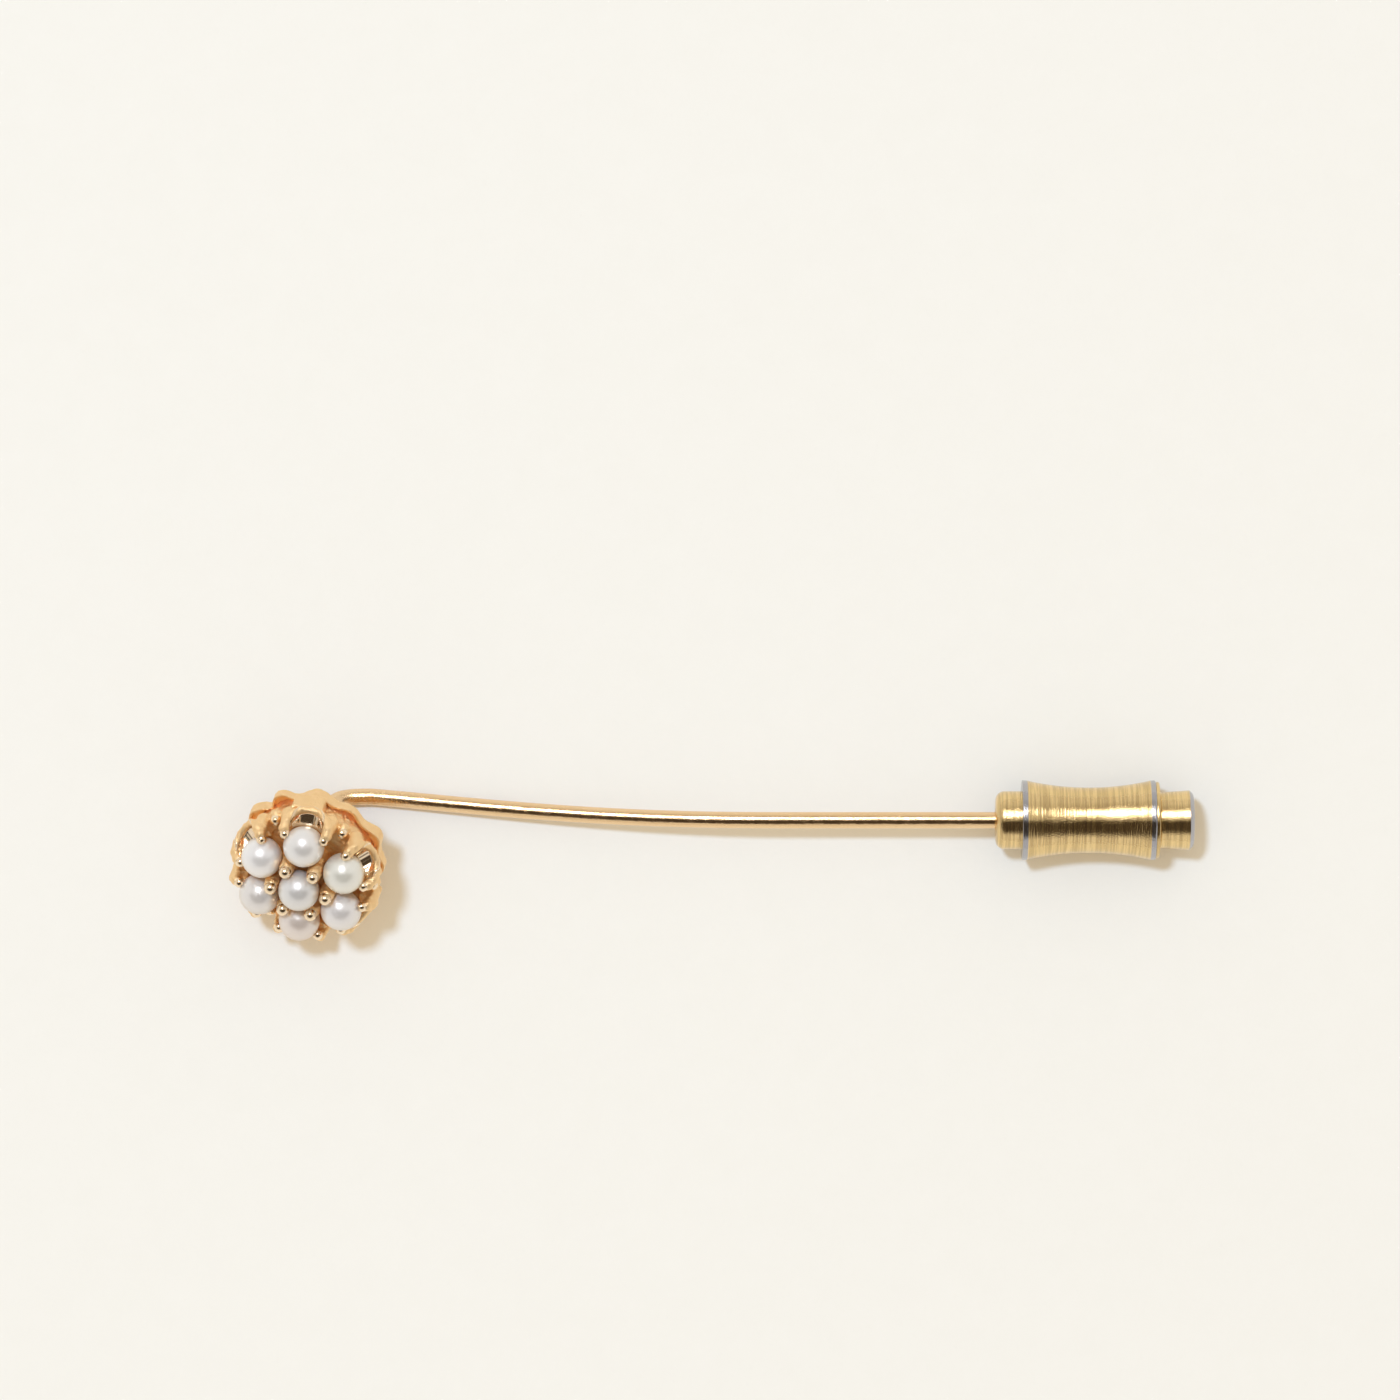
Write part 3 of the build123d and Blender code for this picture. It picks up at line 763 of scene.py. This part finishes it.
def waist_arc():
    """Points of the hollow waist between the two rims, with tool marks."""
    marks = np.random.default_rng(11)
    start, end = NOSE_LENGTH + RIM_LAND, SLEEVE_END - RIM_LAND
    half = (end - start) / 2
    sag = RIM_R - RIM_FALL - WAIST_R
    bend_r = (half ** 2 + sag ** 2) / (2 * sag)
    middle = (start + end) / 2
    out = []
    for i in range(WAIST_MARKS + 1):
        x = start + (end - start) * i / WAIST_MARKS
        r = WAIST_R + bend_r - math.sqrt(bend_r ** 2 - (x - middle) ** 2)
        out.append((x, r + TURNING * marks.uniform(-1, 1), 0))
    return out


def sleeve():
    """The grip: two flat rims with a hollow waist between them."""
    profile = [(NOSE_LENGTH, HOUSING_R), (NOSE_LENGTH, RIM_R, RIM_FRONT_EDGE_R)]
    profile += waist_arc()
    profile += [(SLEEVE_END, RIM_R, RIM_BACK_EDGE_R), (SLEEVE_END, HOUSING_R)]
    return clutch_turning("hourglass_sleeve", profile, "clutch", "grip_sleeve", segments=256)


def cap():
    """The cap: a plug inside the sleeve, and the lip seen behind it."""
    profile = [
        (PLUG_START, CAP_BORE_R), (PLUG_START, CHAMBER_R), (SLEEVE_END, CHAMBER_R), (SLEEVE_END, LIP_R),
        (LIP_END, LIP_R, LIP_EDGE_R), (LIP_END, CAP_BORE_R),
    ]
    return clutch_turning("lipped_cap", profile, "clutch", "rear_cap")


def knob():
    """The knob: flared towards a chamfered tail, with a socket for the cage."""
    tail_x = KNOB_END - KNOB_CHAMFER
    profile = [(KNOB_START, CAGE_TAIL_R), (KNOB_START, KNOB_FRONT_R, KNOB_FRONT_EDGE_R)]
    profile += turned((KNOB_START + KNOB_FRONT_EDGE_R, KNOB_FRONT_R), (tail_x, KNOB_TAIL_R), seed=7)
    profile += [
        (tail_x, KNOB_TAIL_R, KNOB_TAIL_EDGE_R), (KNOB_END, KNOB_TAIL_R - KNOB_CHAMFER, KNOB_END_EDGE_R),
        (KNOB_END, 0, 0), (CAGE_TAIL_END, 0, 0), (CAGE_TAIL_END, CAGE_TAIL_R),
    ]
    return clutch_turning("flared_knob", profile, "plunger", "pull_knob")


# ---------- clutch, inside ----------

BALL_NUMBERS = (1, 2, 3)
CAGE_START, CAGE_NOSE_R, CAGE_BORE_R = 2.32, 0.9, 0.56
FLANGE_START, FLANGE_END, FLANGE_R = 3.75, 4.05, 1.28
BALL_HOLE_R = 0.32
DRILL_MIDDLE_R, DRILL_LENGTH = 1.0, 1.2
SPRING_WIRE_R, SPRING_R, SPRING_COILS = 0.08, 1.08, 6


def cage():
    """The cage: a flanged tube, with a drilled hole round each ball."""
    profile = [
        (CAGE_START, CAGE_BORE_R), (CAGE_START, CAGE_NOSE_R),
        (FLANGE_START, CAGE_NOSE_R), (FLANGE_START, FLANGE_R),
        (FLANGE_END, FLANGE_R), (FLANGE_END, CAGE_TAIL_R),
        (CAGE_TAIL_END, CAGE_TAIL_R), (CAGE_TAIL_END, CAGE_BORE_R),
    ]
    piece = clutch_turning("drilled_cage", profile, "plunger", "ball_cage", 96)
    for number in BALL_NUMBERS:
        seat = centre_of(f"lock_ball_{number}")
        outward = Vector((0, seat.y, seat.z)).normalized()
        bpy.ops.mesh.primitive_cylinder_add(
            vertices=48, radius=BALL_HOLE_R * MM, depth=DRILL_LENGTH * MM,
            location=Vector((seat.x, 0, 0)) + outward * DRILL_MIDDLE_R * MM,
            rotation=outward.to_track_quat("Z", "X").to_euler(),
        )
        drill = bpy.context.object
        hole = piece.modifiers.new("ball_hole", "BOOLEAN")
        hole.operation, hole.object, hole.solver = "DIFFERENCE", drill, "EXACT"
        bpy.context.view_layer.objects.active = piece
        bpy.ops.object.modifier_apply(modifier=hole.name)
        bpy.data.objects.remove(drill)
    outward_normals(piece)
    return piece


def lock_ball(index):
    node = f"lock_ball_{index}"
    points, faces = sphere(4)
    points = points * size_of(node).x / 2 * MM + np.array(centre_of(node))
    return new_piece(f"steel_ball_{index}", points, faces, f"ball_{index}", [node])


def spring():
    """The coil, wound between the two ends of the spring's part."""
    low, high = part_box("clutch_spring")
    start, end = low.x / MM + SPRING_WIRE_R, high.x / MM - SPRING_WIRE_R
    turns = np.linspace(0, 2 * math.pi * SPRING_COILS, 48 * SPRING_COILS)
    path = np.stack([
        np.interp(turns, (0, turns[-1]), (start, end)),
        SPRING_R * np.cos(turns),
        SPRING_R * np.sin(turns),
    ], axis=1)
    radii = np.full(len(path), SPRING_WIRE_R)
    piece = tube("coil", path, radii, "spring", "clutch_spring", segments=16)
    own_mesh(piece)
    return piece


# ---------- materials ----------

class Nodes:
    """Short calls for the nodes of a material or the world."""

    def __init__(self, owner):
        owner.use_nodes = True
        self.tree = owner.node_tree

    def add(self, kind, **settings):
        node = self.tree.nodes.new(kind)
        for key, value in settings.items():
            setattr(node, key, value)
        return node

    def put(self, socket, value):
        """Link a socket to another, or set its number, vector or colour."""
        if isinstance(value, bpy.types.NodeSocket):
            self.tree.links.new(value, socket)
        elif socket.type == "RGBA":
            socket.default_value = (*value, 1)
        else:
            socket.default_value = value

    def vector(self, operation, value, other=None):
        node = self.add("ShaderNodeVectorMath", operation=operation)
        self.put(node.inputs[0], value)
        if other is not None:
            self.put(node.inputs["Scale"] if operation == "SCALE" else node.inputs[1], other)
        return node.outputs["Value"] if operation in ("DOT_PRODUCT", "LENGTH") else node.outputs["Vector"]

    def math(self, operation, *values):
        node = self.add("ShaderNodeMath", operation=operation)
        for socket, value in zip(node.inputs, values):
            self.put(socket, value)
        return node.outputs["Value"]

    def ramp(self, value, low, high, start=0.0, end=1.0):
        """Value from low to high turned into start to end, and held beyond."""
        node = self.add("ShaderNodeMapRange", interpolation_type="SMOOTHSTEP")
        for socket, given in zip(node.inputs, (value, low, high, start, end)):
            self.put(socket, given)
        return node.outputs["Result"]

    def mix(self, share, a, b):
        """Colour a where the share is 0, and b where it is 1."""
        node = self.add("ShaderNodeMix", data_type="RGBA")
        first, second = (socket for socket in node.inputs if socket.type == "RGBA")
        for socket, value in zip((node.inputs["Factor"], first, second), (share, a, b)):
            self.put(socket, value)
        return next(socket for socket in node.outputs if socket.type == "RGBA")


class Paint(Nodes):
    """A material with a Principled surface. Lengths in it are in millimetres."""

    def __init__(self, name):
        self.material = bpy.data.materials.new(name)
        super().__init__(self.material)
        self.surface = self.tree.nodes["Principled BSDF"]
        place_m = self.add("ShaderNodeTexCoord").outputs["Object"]
        self.place = self.vector("SCALE", place_m, 1 / MM)

    def set(self, **inputs):
        """Set the surface's inputs, with spaces in their names written as underscores."""
        for key, value in inputs.items():
            self.put(self.surface.inputs[key.replace("_", " ")], value)

    def noise(self, scale, detail, stretch=(1, 1, 1)):
        """Noise with this many features to the millimetre."""
        node = self.add("ShaderNodeTexNoise")
        self.put(node.inputs["Vector"], self.vector("MULTIPLY", self.place, stretch))
        node.inputs["Scale"].default_value = scale
        node.inputs["Detail"].default_value = detail
        return node.outputs["Fac"]

    def along_x(self):
        split = self.add("ShaderNodeSeparateXYZ")
        self.put(split.inputs[0], self.place)
        return split.outputs["X"]

    def attribute(self, name):
        return self.add("ShaderNodeAttribute", attribute_name=name).outputs["Fac"]

    def hollows(self, reach):
        """1 in the open, towards 0 deep between surfaces closer than this reach."""
        node = self.add("ShaderNodeAmbientOcclusion", samples=8)
        node.inputs["Distance"].default_value = reach * MM
        return node.outputs["AO"]

    def bump(self, height, depth, under=None):
        """A bump of this depth, on top of the one given as under."""
        node = self.add("ShaderNodeBump")
        node.inputs["Distance"].default_value = depth * MM
        self.put(node.inputs["Height"], height)
        if under:
            self.put(node.inputs["Normal"], under)
        return node.outputs["Normal"]


# A pair of colours is what a surface varies between.
CAST_GOLD = (0.91, 0.64, 0.33), (0.98, 0.73, 0.42)
# A paler gold for polished faces, partly painted sheen, and a darker, ruddier gold that is painted shade and
# bounced light for the hollows.
POLISHED_SHEEN, PAINTED_HOLLOW_SHADE = (0.97, 0.79, 0.57), (1.0, 0.58, 0.22)
WIRE_GOLD = (0.87, 0.60, 0.33), (0.91, 0.66, 0.39)
BAR_GOLD = (0.85, 0.60, 0.32), (0.76, 0.48, 0.22)
GILT = (0.83, 0.60, 0.27), (0.90, 0.69, 0.36)
GILT_MARK, WORN_GREY = (0.66, 0.48, 0.23), (0.46, 0.455, 0.475)
BRASS = (0.78, 0.60, 0.30), (0.70, 0.50, 0.22)
STEEL = (0.62, 0.62, 0.64), (0.50, 0.50, 0.52)
PAPER = (0.860, 0.836, 0.772), (0.880, 0.856, 0.796)


def gold_cast():
    """Sandblasted gold, bright where it is polished and darker and ruddier in its hollows. The polished faces
    get a paler colour, partly painted sheen, and the hollows get painted shade and bounced light.
    """
    paint = Paint("gold_cast")
    shine = paint.attribute("shine")
    # Painted shade: ambient occlusion mixes the darker, ruddier gold into the hollows.
    open_share = paint.ramp(paint.hollows(0.9), 0.15, 0.7)
    cloud = paint.noise(1.1, 3)
    matte_and_painted_shade = paint.mix(open_share, PAINTED_HOLLOW_SHADE, paint.mix(cloud, *CAST_GOLD))
    rough = paint.ramp(open_share, 0, 1, 0.30, 0.54)
    grain = paint.noise(14, 3)
    lumps = paint.noise(4.5, 2)
    hush = paint.ramp(shine, 0.1, 0.8, 1.0, 0.06)
    relief = paint.math("MULTIPLY", paint.math("ADD", grain, paint.math("MULTIPLY", lumps, 2.2)), hush)
    paint.set(
        # Painted sheen: polished faces get the paler gold colour as well as a lower roughness.
        Base_Color=paint.mix(shine, matte_and_painted_shade, POLISHED_SHEEN),
        Metallic=paint.ramp(paint.math("MAXIMUM", open_share, shine), 0.0, 0.8, 0.65, 1.0),
        Roughness=paint.math("ADD", rough, paint.ramp(shine, 0.2, 0.9, 0, -0.4)),
        Normal=paint.bump(relief, 0.018),
    )
    return paint.material


def gold_wire():
    """Polished drawn gold with faint marks along it, scuffed and hazy near the head."""
    paint = Paint("gold_wire")
    drawn = paint.noise(5, 3, (0.25, 3, 3))
    dents = paint.noise(2.2, 2)
    specks = paint.noise(9, 2)
    cloud = paint.noise(0.5, 3)
    scuffed = paint.ramp(paint.along_x(), *SCUFFED_X, 1.0, 0.0)
    scuffs = paint.math("MULTIPLY", paint.noise(3.0, 3), scuffed)
    haze = paint.math("MULTIPLY", scuffed, 0.06)
    worn = paint.bump(dents, 0.010, paint.bump(specks, 0.008, paint.bump(scuffs, 0.02)))
    paint.set(
        Base_Color=paint.mix(cloud, *WIRE_GOLD),
        Metallic=1.0,
        Roughness=paint.math("ADD", paint.ramp(dents, 0.3, 0.7, 0.13, 0.24), haze),
        Normal=paint.bump(drawn, 0.004, worn),
    )
    return paint.material


def gilt_turned(name, worn_share):
    """Gilt brass with strokes left by the lathe. worn_share says where the gilding is worn to grey."""
    paint = Paint(name)
    fine = paint.noise(9, 3, (4, 0.3, 0.3))
    strokes = paint.noise(9, 2, (1.5, 0.10, 0.10))
    specks = paint.noise(11, 2)
    patches = paint.noise(0.55, 2)
    cloud = paint.noise(0.7, 3)
    rings = paint.ramp(paint.noise(5, 3, (1.6, 0.05, 0.05)), 0.38, 0.62)
    gilt = paint.mix(rings, GILT_MARK, paint.mix(cloud, *GILT))
    marks = paint.math("MULTIPLY", strokes, paint.ramp(patches, 0.6, 0.4, 0.4, 1.0))
    pits = paint.math("MULTIPLY", specks, paint.ramp(patches, 0.4, 0.6, 0.2, 0.8))
    paint.set(
        Base_Color=paint.mix(worn_share(paint), gilt, WORN_GREY),
        Metallic=1.0,
        Roughness=paint.ramp(fine, 0.3, 0.7, 0.15, 0.27),
        Anisotropic=0.7,
        Tangent=lathe_axis(paint),
        Normal=paint.bump(fine, 0.003, paint.bump(marks, 0.024, paint.bump(pits, 0.018))),
    )
    return paint.material


def lathe_axis(paint):
    """The X axis, as the direction that the lathe's strokes blur reflections in."""
    node = paint.add("ShaderNodeCombineXYZ")
    node.inputs["X"].default_value = 1.0
    return node.outputs["Vector"]


def unworn(paint):
    return 0.0


def worn_rims(paint):
    """Grey on the two flat rims of the sleeve."""
    middle = NOSE_X + (NOSE_LENGTH + SLEEVE_END) / 2
    away = paint.math("ABSOLUTE", paint.math("SUBTRACT", paint.along_x(), middle))
    edge = (SLEEVE_END - NOSE_LENGTH) / 2 - RIM_LAND
    return paint.ramp(away, edge - 0.03, edge + 0.03)


def worn_tail(paint):
    """Grey on the chamfer at the knob's tail, fading out in patches on its flat end."""
    edge = NOSE_X + KNOB_END - KNOB_CHAMFER
    chamfer = paint.ramp(paint.along_x(), edge - 0.06, edge + 0.02)
    reach = paint.vector("LENGTH", paint.vector("MULTIPLY", paint.place, (0, 1, 1)))
    ragged = paint.math("ADD", reach, paint.math("MULTIPLY", paint.noise(2.0, 3), 0.5))
    return paint.math("MULTIPLY", chamfer, paint.ramp(ragged, 1.45, 1.75))


def plain_metal(name, colours, roughness):
    """Turned or drawn metal of the pieces that are mostly hidden."""
    paint = Paint(name)
    rings = paint.noise(8, 3, (4, 0.4, 0.4))
    paint.set(
        Base_Color=paint.mix(rings, *colours),
        Metallic=1.0,
        Roughness=paint.ramp(rings, 0.3, 0.7, roughness, roughness + 0.15),
        Normal=paint.bump(rings, 0.003),
    )
    return paint.material


PEARL_IOR, PEARL_ROUGHNESS = 4.2, 0.33
# Tints: a cooler one for random clouds, and a warmer one painted at the rim as a reflection of the gold round
# it.
COOLER, REFLECTED_RIM_TINT = (0.95, 0.97, 1.02), (1.02, 0.96, 0.88)
PEARL_TINTS = {
    "pearl_centre": (0.63, 0.60, 0.56),
    "pearl_1": (0.71, 0.68, 0.58),
    "pearl_2": (0.71, 0.67, 0.62),
    "pearl_3": (0.77, 0.73, 0.69),
    "pearl_4": (0.68, 0.62, 0.56),
    "pearl_5": (0.68, 0.56, 0.47),
    "pearl_6": (0.71, 0.66, 0.62),
}


def nacre(node, tint):
    """Pearl: a soft deep lustre, faint cool clouds in it, and a warmer rim, which is a painted reflection of
    the gold round it.
    """
    paint = Paint("nacre_" + node)
    facing = paint.add("ShaderNodeLayerWeight")
    facing.inputs["Blend"].default_value = 0.35
    # Painted reflection: the colour warms towards the rim, where the pearl would mirror the gold round it.
    rim = paint.ramp(facing.outputs["Facing"], 0.25, 0.9)
    cool = tuple(np.multiply(tint, COOLER))
    rim_reflection = tuple(np.multiply(tint, REFLECTED_RIM_TINT))
    body = paint.mix(paint.noise(0.8, 3), tint, cool)
    paint.set(
        Base_Color=paint.mix(rim, body, rim_reflection),
        Roughness=PEARL_ROUGHNESS,
        IOR=PEARL_IOR,
        Normal=paint.bump(paint.noise(3, 3), 0.0015),
    )
    return paint.material


def paper():
    """Plain cream paper for the floor."""
    paint = Paint("paper")
    fibre = paint.noise(0.6, 4)
    paint.set(
        Base_Color=paint.mix(fibre, *PAPER),
        Normal=paint.bump(paint.noise(1.6, 3), 0.02),
        Roughness=0.9,
        Specular_IOR_Level=0.2,
    )
    return paint.material


# ---------- studio ----------

CAMERA_HEIGHT = 500  # above the table, in millimetres
VIEW_X, VIEW_Y = -9.7, 7.285  # where the camera looks, in millimetres
VIEW_WIDTH = 84.85  # width of the picture at the height of the shank, in millimetres
SENSOR = 36  # width of the camera's sensor, in millimetres
CLIP_NEAR, CLIP_FAR = 0.001, 20  # nearest and farthest that the camera sees, in metres
SHEET_RADIUS, SHEET_SIDES = 420, 120
KEY_AZIMUTH, KEY_LEAN = 133, 19
KEY_DISTANCE, KEY_SIZE, KEY_POWER, KEY_COLOUR = 1.2, 0.15, 8.3, (0.51, 0.71, 1.0)
# The room as mirror-like surfaces see it, its fill light, and the backdrop the camera sees.
ROOM, DIM_ROOM, SHADE = (0.80, 0.77, 0.73), (0.56, 0.52, 0.46), (0.060, 0.045, 0.032)
PANEL, LAMP = (3.6, 3.6, 3.7), (14, 14.5, 16)
FILL, BACKDROP = (0.80, 0.69, 0.53), (0.92, 0.91, 0.89)
# Angles are in degrees. A pair is where a patch is full and where it has faded out.
PANEL_AZIMUTH, PANEL_LEAN = 106, 26
GLOW_SPAN, PANEL_SPAN, LAMP_SPAN = (20, 48), (11, 18), (4, 9)
# The shade is on the -Y side of straight up, ends at this lean, and fades out with distance from straight up.
SHADE_END, SHADE_SPAN = 66, (45, 65)
SHADE_TOP_BLUR, SHADE_END_BLUR = 3, 9


def direction(azimuth, lean):
    """A unit vector this many degrees from straight up, towards this azimuth."""
    a, b = math.radians(azimuth), math.radians(lean)
    return Vector((math.sin(b) * math.cos(a), math.sin(b) * math.sin(a), math.cos(b)))


def floor():
    """A round sheet of paper under the pin."""
    turn = 360 / SHEET_SIDES
    rim = [polar(SHEET_RADIUS * MM, turn * i, TABLE_Z * MM) for i in range(SHEET_SIDES)]
    mesh = bpy.data.meshes.new("floor")
    mesh.from_pydata(rim, [], [range(len(rim))])
    mesh.materials.append(paper())
    plane = bpy.data.objects.new("floor", mesh)
    bpy.context.scene.collection.objects.link(plane)


def key_light():
    """The lamp that casts the shadow. Mirror-like surfaces see the room's panel and lamp instead of it."""
    lamp = bpy.data.lights.new("key", "AREA")
    lamp.shape = "DISK"
    lamp.size = KEY_SIZE
    lamp.energy = KEY_POWER
    lamp.color = KEY_COLOUR
    light = bpy.data.objects.new("key", lamp)
    bpy.context.scene.collection.objects.link(light)
    towards = direction(KEY_AZIMUTH, KEY_LEAN)
    light.location = Vector((VIEW_X * MM, 0, 0)) + towards * KEY_DISTANCE
    light.rotation_euler = (-towards).to_track_quat("-Z", "Y").to_euler()
    light.visible_camera = False
    light.visible_glossy = False


def nearness(room, way, azimuth, lean, span):
    """1 near a direction, falling to 0 between the two angles of the span."""
    inner, outer = (math.cos(math.radians(angle)) for angle in span)
    return room.ramp(room.vector("DOT_PRODUCT", way, tuple(direction(azimuth, lean))), outer, inner)


def past(room, way, normal, blur):
    """0 on one side of a plane through the eye, 1 on its normal's side, changing within this blur."""
    edge = math.sin(math.radians(blur))
    return room.ramp(room.vector("DOT_PRODUCT", way, normal), -edge, edge)


def sky():
    """Soft white room light. Mirror-like surfaces also see a bright panel and a dark side of the room."""
    world = bpy.data.worlds.new("room")
    bpy.context.scene.world = world
    room = Nodes(world)
    way = room.add("ShaderNodeTexCoord").outputs["Generated"]
    end = math.radians(SHADE_END)
    below_top = past(room, way, (0, -1, 0), SHADE_TOP_BLUR)
    above_end = past(room, way, (0, math.cos(end), math.sin(end)), SHADE_END_BLUR)
    dark = room.math("MULTIPLY", below_top, above_end)
    dark = room.math("MULTIPLY", dark, nearness(room, way, 0, 0, SHADE_SPAN))

    def panel_share(span):
        return nearness(room, way, PANEL_AZIMUTH, PANEL_LEAN, span)

    seen = room.mix(panel_share(GLOW_SPAN), ROOM, DIM_ROOM)
    seen = room.mix(dark, seen, SHADE)
    seen = room.mix(panel_share(PANEL_SPAN), seen, PANEL)
    seen = room.mix(panel_share(LAMP_SPAN), seen, LAMP)
    rays = room.add("ShaderNodeLightPath")
    unseen = room.mix(rays.outputs["Is Camera Ray"], FILL, BACKDROP)
    colour = room.mix(rays.outputs["Is Glossy Ray"], unseen, seen)
    room.put(room.tree.nodes["Background"].inputs["Color"], colour)


def camera():
    """A camera straight above, looking down."""
    lens = bpy.data.cameras.new("above")
    lens.sensor_width = SENSOR
    lens.lens = SENSOR * (CAMERA_HEIGHT + TABLE_Z) / VIEW_WIDTH
    lens.clip_start, lens.clip_end = CLIP_NEAR, CLIP_FAR
    eye = bpy.data.objects.new("above", lens)
    eye.location = Vector((VIEW_X, VIEW_Y, TABLE_Z + CAMERA_HEIGHT)) * MM
    bpy.context.scene.collection.objects.link(eye)
    bpy.context.scene.camera = eye


def dress(piece, material):
    """Give a piece one material."""
    piece.data.materials.clear()
    piece.data.materials.append(material)


# ---------- the whole pin ----------

cast = gold_cast()
dress(crown(), cast)
dress(gallery_rail(), cast)
dress(pin_wire(), gold_wire())
for number, (node, tint) in enumerate(PEARL_TINTS.items()):
    dress(pearl(node, number), nacre(node, tint))
gilt = gilt_turned("gilt_turned", unworn)
dress(housing(), gilt)
dress(cap(), gilt)
dress(sleeve(), gilt_turned("gilt_sleeve", worn_rims))
dress(knob(), gilt_turned("gilt_knob", worn_tail))
dress(cage(), plain_metal("inner_brass", BRASS, 0.25))
steel = plain_metal("steel", STEEL, 0.12)
for number in BALL_NUMBERS:
    dress(lock_ball(number), steel)
dress(spring(), steel)
dress(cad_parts["back_bar"], plain_metal("bar_gold", BAR_GOLD, 0.3))

floor()
key_light()
sky()
camera()
bpy.context.scene.view_settings.view_transform = "Standard"
bpy.context.scene.cycles.glossy_bounces = 8
